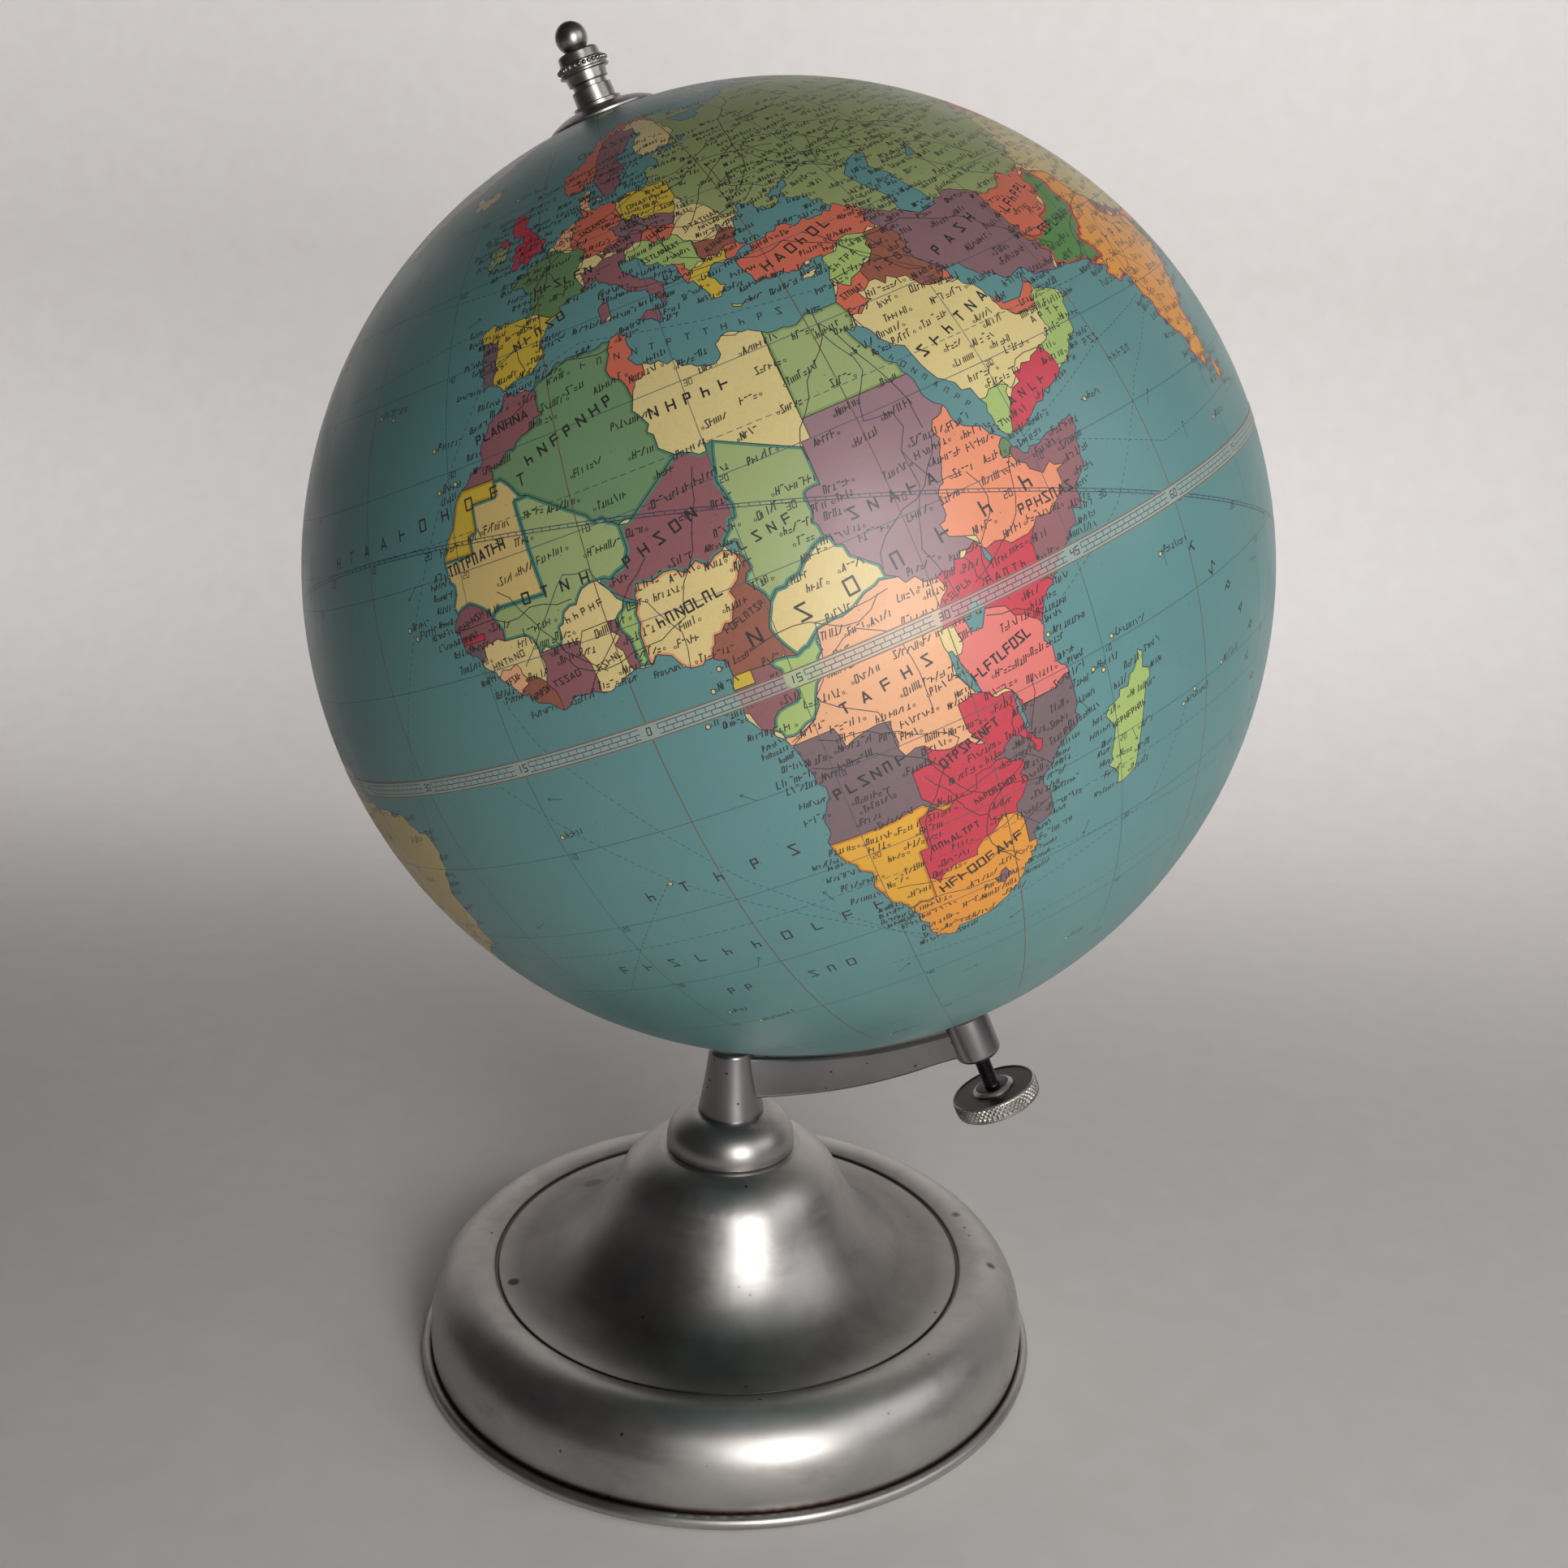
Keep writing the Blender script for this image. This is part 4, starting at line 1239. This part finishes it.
# Currents: place, and turn in degrees from east.
ARROWS = [
    (7, -10, 140), (9.5, -24, 110), (-3, -30, 60), (62, 9, 50), (66, 4, 80), (56, -6, 95),
    (47, -20, -70), (41, -14, -60), (40, -28, -120), (30, -36, 200), (12, -38, 30), (-12, -4, 170),
    (-25, -18, 200), (-22, 20, 220), (-30, 38, 30), (-12, 45, 20), (75, -12, 175), (85, -35, 20),
    (68, -30, -60), (20, -43, 10)]
# Where each railway starts and its turn in degrees from east.
RAIL_STARTS = [
    (2.3, 48.8, 120), (2.3, 48.8, 20), (2.3, 48.8, 240), (13.4, 52.5, 0), (13.4, 52.5, 200),
    (13.4, 52.5, 280), (16.4, 48.2, 340), (21, 52.2, 10), (30.5, 50.4, 40), (30.5, 50.4, 300),
    (37.6, 55.7, 300), (37.6, 55.7, 200), (37.6, 55.7, 10), (37.6, 55.7, 80), (37.6, 55.7, 250),
    (44, 48.7, 320), (49, 55.8, 350), (60, 56.8, 340), (60, 56.8, 0), (69.2, 41.3, 150),
    (33, 40, 340), (33, 40, 190), (44.4, 33.3, 140), (51.4, 35.7, 130), (51.4, 35.7, 340),
    (67, 25, 50), (77.2, 28.6, 220), (77.2, 28.6, 320), (77.2, 28.6, 270), (80.2, 13.1, 130),
    (88.4, 22.6, 150), (3.1, 36.7, 180), (3.1, 36.7, 340), (31.2, 30, 280), (31.2, 30, 260),
    (39.7, -4, 140), (36.8, -1.3, 120), (28, -26.2, 230), (28, -26.2, 330), (28, -26.2, 20),
    (18.5, -33.9, 40), (28.6, -20.2, 60), (28.6, -20.2, 250), (27.5, -11.7, 130),
    (27.5, -11.7, 210), (13.2, -8.8, 350), (15.3, -4.3, 200), (34.8, -19.8, 140), (7.5, 9, 60),
    (7.5, 9, 200), (-1.6, 6.7, 120), (-4, 5.4, 70), (-17, 14.7, 350), (12, 3.9, 30),
    (36, 15.6, 250), (43, 11.6, 240), (18, 59, 60), (10.7, 59.9, 20), (-3.7, 40.4, 60),
    (-3.7, 40.4, 200), (-3.7, 40.4, 300), (9, 45.4, 340), (12.5, 42, 320), (-74, 41, 170),
    (-87.6, 41.9, 190), (-87.6, 41.9, 160), (-99, 19.4, 110), (-58, -34.6, 150), (-46, -23.5, 60),
    (-70.6, -33.4, 90), (116, 40, 250), (116, 40, 60), (121, 31, 200), (144, -37, 40),
    (151, -33.8, 120), (105, 52, 0), (83, 55, 0)]
RAIL_STEPS = 9

# Islands, as longitudes and latitudes.
ISLANDS = [
    (-16.5, 28.3), (-14, 28.6), (-24.2, 16), (-23.2, 15), (-28.4, 38.5), (-25.4, 37.8), (-17, 32.7),
    (-14.4, -8), (-5.7, -16), (-12.3, -37.1), (6.6, 0.2), (7.4, 1.6), (8.7, 3.4), (43.3, -11.6),
    (44.5, -12.2), (55.5, -21.1), (57.6, -20.3), (55.5, -4.6), (53.9, 12.5), (73.2, 4.0),
    (39.4, -6.1), (46.4, -9.4), (63.4, -19.7), (-9.9, -40.3), (3.4, -54.4), (-6.9, 62),
    (37.7, -46.9), (5.6, -1.4)]

EDGES = border_edges()
EDGE_ENDS = np.array([(start, end) for start, end, _, _ in EDGES])
GRID = land_grid()


def printed_ink():
    """All that is printed on the gores and caps."""
    ink, room = Ink(), Room()
    for lay in (lay_borders, lay_graticule, lay_sea_lanes, lay_rivers, lay_roads, lay_ecliptic):
        lay(ink)
    lay_names(ink, room)
    lay_islands(ink, room)
    lay_towns(ink, room)
    ink.measure()
    return ink


def tape_ink():
    """The degree scale on the equator tape: a ladder of half degrees, and a number every 15."""
    ink = Ink()
    for lat in (-0.82, 0.82):
        ink.line([(-180, lat), (180, lat)], TAPE_RAIL, SEAM)
    for lon in range(-180, 180):
        gap = min(lon % 15, 15 - (lon + 1) % 15 if (lon + 1) % 15 else 0)
        if gap >= 1:
            for lat in (-0.5, 0.0, 0.5):
                ink.stroke((lon, lat), (lon + 1, lat), TAPE_LADDER, BLUE)
            ink.stroke((lon, 0), (lon, 0.5), TAPE_RUNG, BLUE)
            ink.stroke((lon + 0.5, -0.5), (lon + 0.5, 0), TAPE_RUNG, BLUE)
        if lon % 15 == 0:
            ink.number((lon - 0.25 - 0.2 * (abs(lon) > 9), -0.35), abs(lon), *TAPE_TEXT, INK)
    ink.measure()
    return ink


def aged_tape(colour):
    """The tint that shows through the yellowed strip."""
    return tuple(0.36 * part + 0.64 * grey for part, grey in zip(colour, (182, 184, 174)))


def paper_finish():
    """Printed paper under old varnish: fibres, yellowing and specks over the print."""
    paper = Nodes("printed_paper")
    ink = paper.add("ShaderNodeVertexColor", layer_name="print").outputs["Color"]
    fibre = paper.noise(900, 5, 0.7)
    cloud = paper.noise(11, 4, 0.6)
    colour = paper.mix(paper.ramp(fibre, (0.3, 0.0), (0.75, 0.16)), ink, srgb(150, 140, 118))
    aged = paper.ramp(cloud, (0.42, 0.0), (0.75, 0.2))
    colour = paper.mix(aged, colour, srgb(146, 132, 100), "MULTIPLY")
    specks = paper.spots(260, 0.045, 0.02)
    colour = paper.mix(paper.math("MULTIPLY", specks, 0.55), colour, srgb(70, 62, 52))
    rough = paper.ramp(paper.noise(45, 4), (0.3, 0.34), (0.7, 0.46))
    paper.bump(fibre, 0.00004)
    paper.set(Specular_IOR_Level=0.45, Coat_Weight=0.25, Coat_Roughness=0.32)
    return paper.finish(colour, rough)


def globe_map():
    """Twelve gores, two caps and the equator tape, each in the place of its own node."""
    paper = paper_finish()
    ink = printed_ink()
    inner = GLOBE_RADIUS - PAPER
    pieces = []
    for number in range(12):
        west = (30 * number + 180) % 360 - 180
        window = (west, west + 30, -CAP_LATITUDE, CAP_LATITUDE)
        name = "gore_%02d" % (number + 1)
        pieces.append((printed_sheet("map_" + name, window, GLOBE_RADIUS, inner, ink), name))
    caps = (("south_cap", -CAP_EDGE, -CAP_LATITUDE), ("north_cap", CAP_LATITUDE, CAP_EDGE))
    for name, south, north in caps:
        window = (-180, 180, south, north)
        pieces.append((printed_sheet("map_" + name, window, GLOBE_RADIUS, inner, ink), name))
    window = (-180, 180, -TAPE_HALF, TAPE_HALF)
    tape = printed_sheet("scale_tape", window, GLOBE_RADIUS + TAPE, GLOBE_RADIUS, tape_ink(), aged_tape)
    pieces.append((tape, "equator_tape"))
    for piece, node in pieces:
        piece.data.materials.append(paper)
        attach(piece, "globe")
        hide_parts(node)


# ------------------------------------------------------------------------------ finishes
# Dirt in the groove and above the bead: radius, height and half width in mm, and colour.
DIRT_RINGS = [(90.3, 34.7, 1.5, (64, 50, 42)), (115.7, 5.4, 2.2, (72, 48, 34))]
# Four dark marks on the foot: middle and reach in mm.
FOOT_MARKS = [((-63, 41, 36.6), 3.4), ((-78, -33, 34.8), 1.5), ((103, 8, 35), 1.2), ((88, 42, 35), 1.4)]


def spun_aluminium():
    """Lathe-spun sheet: very fine rings, smoky stains, a few dark pits."""
    metal = Nodes("spun_aluminium")
    stain = metal.noise(14, 6, 0.62)
    smoke = metal.noise(38, 5, 0.6, (1, 1, 2.2))
    rings = metal.noise(420, 2, 0.5, (0.02, 0.02, 1.0))
    colour = metal.mix(metal.ramp(stain, (0.35, 0), (0.68, 1)), srgb(164, 160, 158), srgb(196, 193, 190))
    colour = metal.mix(metal.ramp(smoke, (0.55, 0), (0.78, 0.45)), colour, srgb(124, 118, 114))
    pits = metal.math("MULTIPLY", metal.spots(70, 0.03, 0.03), 0.8)
    colour = metal.mix(pits, colour, srgb(40, 34, 32))
    flat_part = metal.ring(74, 37, 26)
    dulled = metal.math("MULTIPLY", flat_part, metal.ramp(stain, (0.3, 0.9), (0.7, 0.6)))
    colour = metal.mix(dulled, colour, srgb(100, 96, 92))
    for radius, height, half, dirt in DIRT_RINGS:
        amount = metal.math("MULTIPLY", metal.ring(radius, height, half), 0.85)
        colour = metal.mix(amount, colour, srgb(*dirt))
    for centre, reach in FOOT_MARKS:
        mark = metal.near(centre, reach, 1.4)
        broken = metal.math("MULTIPLY", mark, metal.ramp(smoke, (0.35, 1.0), (0.7, 0.5)))
        colour = metal.mix(broken, colour, srgb(44, 38, 36))
    turned_rough = metal.math("MULTIPLY", rings, 0.08)
    rough = metal.math("ADD", metal.ramp(stain, (0.3, 0.32), (0.75, 0.42)), turned_rough)
    metal.bump(rings, 0.00002)
    metal.set(Metallic=1.0)
    return metal.finish(colour, rough)


def cast_aluminium():
    """Sand-cast and rubbed down: a fine grain and a few pits."""
    metal = Nodes("cast_aluminium")
    grain = metal.noise(700, 4, 0.6)
    stain = metal.noise(30, 5, 0.6)
    colour = metal.mix(stain, srgb(128, 126, 127), srgb(162, 160, 161))
    pits = metal.math("MULTIPLY", metal.spots(150, 0.05, 0.04), 0.85)
    colour = metal.mix(pits, colour, srgb(46, 40, 38))
    metal.bump(grain, 0.00005)
    metal.set(Metallic=1.0)
    return metal.finish(colour, metal.ramp(stain, (0.3, 0.27), (0.7, 0.36)))


def plated(name, dark, light, low, high):
    """Dulled nickel plate with tarnish."""
    metal = Nodes(name)
    stain = metal.noise(90, 5, 0.65)
    colour = metal.mix(metal.ramp(stain, (0.36, 0), (0.64, 1)), dark, light)
    metal.set(Metallic=1.0)
    metal.bump(metal.noise(1500, 2), 0.00001)
    return metal.finish(colour, metal.ramp(stain, (0.3, low), (0.7, high)))


def rough_solid(name, dark, light, scale, depth):
    """Felt, board and wood: no shine, a grain of its own size."""
    stuff = Nodes(name)
    grain = stuff.noise(scale, 5, 0.65)
    stuff.bump(grain, depth)
    return stuff.finish(stuff.mix(grain, dark, light), stuff.ramp(grain, (0, 0.8), (1, 0.95)))


def dress_frame():
    """Gives each node of the model the finish of its material."""
    aluminium = spun_aluminium()
    cast = cast_aluminium()
    nickel = plated("dull_nickel", srgb(146, 142, 137), srgb(196, 192, 187), 0.3, 0.42)
    steel = plated("bare_steel", srgb(120, 118, 116), srgb(168, 166, 164), 0.25, 0.4)
    black = plated("blackened_steel", srgb(40, 38, 40), srgb(74, 70, 72), 0.3, 0.48)
    brass = plated("brass", srgb(160, 122, 62), srgb(206, 168, 92), 0.2, 0.35)
    iron = rough_solid("cast_iron", srgb(40, 38, 36), srgb(74, 68, 64), 300, 0.0003)
    felt = rough_solid("felt", srgb(30, 62, 42), srgb(54, 96, 66), 1400, 0.0004)
    board = rough_solid("board", srgb(120, 92, 62), srgb(160, 128, 92), 260, 0.0001)
    wood = rough_solid("hoop_wood", srgb(132, 96, 58), srgb(182, 142, 92), 90, 0.0001)
    finishes = {
        "base_shell neck_dome": aluminium, "arm_casting": cast,
        "polar_dish finial_stem beaded_ring finial_knob": nickel,
        "axle_rod tie_bolt spacer_tube rim_wire plate_screws": steel,
        "thumb_screw knob_hub": black, "knurled_knob": nickel, "boss_bush thrust_washer": brass,
        "brake_plug south_bush north_bush": brass, "ballast_disc": iron, "felt_disc": felt,
        "closing_plate south_shell north_shell": board, "equator_hoop": wood}
    by_name = {name: finish for names, finish in finishes.items() for name in names.split()}
    for name, node in nodes.items():
        node.data.materials.clear()
        node.data.materials.append(by_name.get(name, board))
    return cast, nickel, black


# ------------------------------------------------------------------------------ turned and cast pieces
def smooth_run(points, steps=6):
    """A Catmull-Rom curve through (radius, height) points."""
    ends = [points[0]] + points + [points[-1]]
    run = []
    for p0, p1, p2, p3 in zip(ends, ends[1:], ends[2:], ends[3:]):
        for i in range(steps):
            t = i / steps
            run.append(tuple(0.5 * (2 * b + (c - a) * t + (2 * a - 5 * b + 4 * c - d) * t * t
                                    + (3 * b - a - 3 * c + d) * t ** 3)
                             for a, b, c, d in zip(p0, p1, p2, p3)))
    return run + [points[-1]]


def rounded(radius, centre, start, end, steps=5):
    """Points of an arc, with angles in degrees."""
    angles = [math.radians(start + (end - start) * i / steps) for i in range(steps + 1)]
    return [(centre[0] + radius * math.cos(a), centre[1] + radius * math.sin(a)) for a in angles]


SHARP = math.radians(32)                  # edges that turn by more stay crisp


def piece_from(name, mesh, place=None):
    """An object from a mesh made about the origin."""
    mesh.validate()
    if place:
        mesh.transform(place)
    smooth(mesh)
    mesh.set_sharp_from_angle(angle=SHARP)
    return placed(name, mesh)


def mesh_of(name, form):
    """The finished mesh of a form, with every face turned outward."""
    bmesh.ops.recalc_face_normals(form, faces=form.faces)
    mesh = bpy.data.meshes.new(name)
    form.to_mesh(mesh)
    form.free()
    return mesh


def turned(name, outline, columns, place=None, shape=lambda radius, height, turn: radius):
    """A solid turned from a closed (radius, height) outline in mm; shape may change the radius."""
    form = bmesh.new()
    rings = []
    for radius, height in outline:
        ring = []
        for column in range(columns):
            turn = 2 * math.pi * column / columns
            reach = shape(radius, height, turn) * MM
            ring.append(form.verts.new((reach * math.cos(turn), reach * math.sin(turn), height * MM)))
        rings.append(ring)
    for lower, upper in zip(rings, rings[1:] + rings[:1]):
        for i in range(columns):
            j = (i + 1) % columns
            form.faces.new((lower[i], lower[j], upper[j], upper[i]))
    bmesh.ops.remove_doubles(form, verts=form.verts, dist=1e-7)
    return piece_from(name, mesh_of(name, form), place)


def stand_in(piece, node, body, finish):
    """Puts a piece in the place of a node of the model."""
    piece.data.materials.append(finish)
    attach(piece, body)
    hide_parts(node)


def second_finish(piece, finish, belongs):
    """Another finish on the faces whose radius and height on the axis, in metres, belong to it."""
    piece.data.materials.append(finish)
    inverse = GLOBE.inverted()
    for polygon in piece.data.polygons:
        place = inverse @ polygon.center
        if belongs(math.hypot(place.x, place.y), place.z):
            polygon.material_index = 1


# Heights along the axis from the globe's centre, and radii, in mm.
KNOB_TOP, KNOB_BOTTOM = -207.5, -214.2
HUB_TOP = -206.3
KNOB_RADIUS = 16.4
KNURL_TEETH = 52
KNURL_DEPTH = 0.65
KNURL_RISE = 2.2             # mm up the rim from one diamond to the next
SCREW_RADIUS = 3.0
SCREW_END = -188.3
THREAD_DEPTH = 0.55


def knurled_rim(radius, height, turn):
    """The rim's radius, cut by two sets of crossing V grooves."""
    if radius < KNOB_RADIUS - 0.01:
        return radius
    along = KNURL_TEETH * turn / (2 * math.pi)
    cuts = []
    for way in (1, -1):
        share = (along + way * height / KNURL_RISE) % 1.0
        cuts.append(max(0.0, 1 - abs(share - 0.5) / 0.38))
    room = min(KNOB_TOP - 0.8 - height, height - (KNOB_BOTTOM + 1.3)) + 0.15
    return radius - KNURL_DEPTH * max(cuts) * min(1.0, max(0.0, room / 0.35))


def knurled_knob(upper, rim):
    """The knob, with a blackened dish above and a crossed knurl round the rim."""
    rows = 26
    low, high = KNOB_BOTTOM + 1.3, KNOB_TOP - 0.8
    outline = [(SCREW_RADIUS, KNOB_TOP - 0.3), (8.6, KNOB_TOP - 0.3)]
    outline += [(9.2, KNOB_TOP - 0.35), (14.6, KNOB_TOP - 0.3)]
    outline += [(15.0, KNOB_TOP), (15.6, KNOB_TOP), (16.1, KNOB_TOP - 0.4)]
    outline += [(KNOB_RADIUS, high + (low - high) * i / rows) for i in range(rows + 1)]
    outline += rounded(1.0, (KNOB_RADIUS - 1.2, KNOB_BOTTOM + 1.0), 0, -90, 4)
    outline += [(10.0, KNOB_BOTTOM), (9.4, KNOB_BOTTOM + 0.4), (SCREW_RADIUS, KNOB_BOTTOM + 0.4)]
    knob = turned("knurled_brake_knob", outline, KNURL_TEETH * 10, GLOBE, knurled_rim)
    stand_in(knob, "knurled_knob", "screw", rim)
    floor, edge = (KNOB_TOP - 0.45) * MM, 15.8 * MM
    second_finish(knob, upper, lambda radius, height: height > floor and radius < edge)


def hub_ring(upper, edge):
    """The raised ring round the screw, dark above with a bright turned edge."""
    outline = [(SCREW_RADIUS, HUB_TOP), (6.4, HUB_TOP), (7.4, HUB_TOP - 0.5), (7.9, HUB_TOP - 1.0),
               (7.9, KNOB_TOP - 0.3), (SCREW_RADIUS, KNOB_TOP - 0.3)]
    ring = turned("hub_ring", outline, 96, GLOBE)
    stand_in(ring, "knob_hub", "screw", upper)
    top, inner = (HUB_TOP - 0.1) * MM, 6.5 * MM
    second_finish(ring, edge, lambda radius, height: height < top and radius > inner)


def threaded_screw(finish):
    """The brake screw, with a thread of 1 mm pitch that fades out above the knob."""
    step = 0.125
    rows = int((SCREW_END - KNOB_BOTTOM) / step)
    outline = [(0, KNOB_BOTTOM)]
    outline += [(SCREW_RADIUS, KNOB_BOTTOM + step * i) for i in range(rows + 1)]
    outline += [(SCREW_RADIUS - 0.6, SCREW_END), (0, SCREW_END)]

    def thread(radius, height, turn):
        if radius < SCREW_RADIUS - 0.01:
            return radius
        share = (height + turn / (2 * math.pi)) % 1.0
        fade = min(1.0, max(0.0, (height - KNOB_TOP - 1.5) / 0.6))
        return radius - THREAD_DEPTH * abs(2 * share - 1) * fade

    screw = turned("threaded_screw", outline, 48, GLOBE, thread)
    stand_in(screw, "thumb_screw", "screw", finish)


WEB_START, WEB_END = -4.5, 23.0           # degrees round the globe from straight down
WEB_UPPER = (184.8, 179.5)                # mm from the globe's centre at each end
WEB_LOWER = (202.8, 189.6)
WEB_HALF = 3.5
WEB_ROUND = 1.5                           # mm, the rounding of its edges


def web_of_arm():
    """The curved flat arm, with rounded edges that flare into the column and the boss."""
    sections, corners = 48, 5
    form = bmesh.new()
    rings = []
    for index in range(sections + 1):
        share = index / sections
        angle = math.radians(WEB_START + (WEB_END - WEB_START) * share)
        near_boss = max(0.0, (share - 0.80) / 0.20) ** 2
        near_column = max(0.0, (0.36 - share) / 0.36) ** 3
        upper = WEB_UPPER[0] + (WEB_UPPER[1] - WEB_UPPER[0]) * share
        lower = WEB_LOWER[0] + (WEB_LOWER[1] - WEB_LOWER[0]) * share + 1.4 * near_boss
        half = WEB_HALF + 1.6 * near_boss + 2.2 * near_column
        ring = []
        low, high = lower - WEB_ROUND, upper + WEB_ROUND
        for sideways, centre, start in ((1, low, 0), (-1, low, 90), (-1, high, 180), (1, high, 270)):
            for i in range(corners):
                turn = math.radians(start + 90 * i / (corners - 1))
                across = sideways * (half - WEB_ROUND) + WEB_ROUND * math.cos(turn)
                reach = centre + WEB_ROUND * math.sin(turn)
                ring.append(form.verts.new(
                    (reach * math.sin(angle) * MM, across * MM, -reach * math.cos(angle) * MM)))
        rings.append(ring)
    for one, two in zip(rings, rings[1:]):
        for i in range(len(one)):
            j = (i + 1) % len(one)
            form.faces.new((one[i], one[j], two[j], two[i]))
    form.faces.new(rings[0])
    form.faces.new(reversed(rings[-1]))
    return piece_from("web", mesh_of("web", form), Matrix.Translation(CENTRE))


def arm(finish):
    """Column, web and boss, joined into one casting."""
    column = [(12.6, 99.2)] + smooth_run([(12.6, 99.25), (11.0, 108.0), (9.7, 116.5), (8.8, 123.5)])
    column += rounded(2.0, (6.8, 123.5), 8, 90) + [(0, 125.5), (0, 99.2)]
    casting = turned("cast_arm", column, 128)
    boss = [(0, -193.5), (6.0, -193.5)] + rounded(2.4, (6.1, -191.1), -84, 0) + [(8.5, -176.3)]
    boss += [(7.7, -175.5), (0, -175.5)]
    for other in (web_of_arm(), turned("boss", boss, 128, GLOBE)):
        joining = casting.modifiers.new("join", "BOOLEAN")
        joining.operation = "UNION"
        joining.object = other
        joining.solver = "EXACT"
        joined = casting.evaluated_get(bpy.context.evaluated_depsgraph_get())
        whole = bpy.data.meshes.new_from_object(joined)
        casting.modifiers.clear()
        casting.data = whole
        bpy.data.objects.remove(other)
    casting.data.set_sharp_from_angle(angle=SHARP)
    casting.data.materials.clear()
    stand_in(casting, "arm_casting", "stand", finish)


# ------------------------------------------------------------------------------ light and camera
def softbox(name, place, aim, size, watts, colour=(1, 1, 1), spread=180):
    """An area light aimed at a place, all in metres."""
    data = bpy.data.lights.new(name, "AREA")
    data.shape = "RECTANGLE"
    data.size, data.size_y = size
    data.energy = watts
    data.color = colour
    data.spread = math.radians(spread)
    light = placed(name, data)
    light.location = place
    light.rotation_euler = (Vector(aim) - Vector(place)).to_track_quat("-Z", "Y").to_euler()


def studio():
    """Pale floor that curves up behind the object, a window-like key at the right, a dim room."""
    half, depth, bend, height = 3.0, 0.55, 0.35, 1.5
    outline = [(-2.5, 0.0), (depth, 0.0)]
    outline += [(depth + bend * math.sin(math.radians(a)), bend - bend * math.cos(math.radians(a)))
                for a in range(10, 91, 10)]
    outline.append((depth + bend, height))
    mesh = bpy.data.meshes.new("backdrop")
    corners = [(x, y, z) for y, z in outline for x in (-half, half)]
    faces = [(2 * i, 2 * i + 1, 2 * i + 3, 2 * i + 2) for i in range(len(outline) - 1)]
    mesh.from_pydata(corners, [], faces)
    smooth(mesh)
    backdrop = placed("backdrop", mesh)
    plaster = Nodes("pale_surface")
    mottle = plaster.noise(60, 3)
    colour = plaster.mix(mottle, srgb(216, 211, 208), srgb(226, 222, 220))
    backdrop.data.materials.append(plaster.finish(colour, plaster.ramp(mottle, (0, 0.5), (1, 0.65))))

    world = bpy.data.worlds.new("room")
    world.use_nodes = True
    background = world.node_tree.nodes["Background"].inputs
    background["Color"].default_value = srgb(196, 198, 206) + (1,)
    background["Strength"].default_value = 0.04
    bpy.context.scene.world = world
    softbox("key", (0.62, -1.15, 0.60), (0.02, 0, 0.26), (0.5, 0.8), 12.0, (1.0, 0.985, 0.96))
    softbox("window", (1.55, -0.35, 1.1), (0.02, 0, 0.28), (1.1, 1.1), 5.5, (0.97, 0.985, 1.0))
    softbox("wall_wash", (-0.4, 0.35, 1.3), (-0.4, 0.9, 0.38), (2.4, 0.3), 4.6, (1, 1, 1), 70)
    # Shows light greys as light as they are.
    bpy.context.scene.view_settings.view_transform = "Standard"


def camera():
    """The camera, level with the top of the globe and rolled a little."""
    place = Vector(CAMERA_PLACE) * MM
    aim = Vector(CAMERA_AIM) * MM
    data = bpy.data.cameras.new("camera")
    data.lens = CAMERA_LENS
    data.sensor_width = 36
    data.clip_start = 0.01
    view = placed("camera", data)
    level = (aim - place).to_track_quat("-Z", "Y").to_matrix().to_4x4()
    roll = Matrix.Rotation(math.radians(CAMERA_ROLL), 4, "Z")
    view.matrix_world = Matrix.Translation(place) @ level @ roll
    bpy.context.scene.camera = view


cast, nickel, black = dress_frame()
arm(cast)
knurled_knob(black, nickel)
hub_ring(black, nickel)
threaded_screw(black)
globe_map()
studio()
camera()
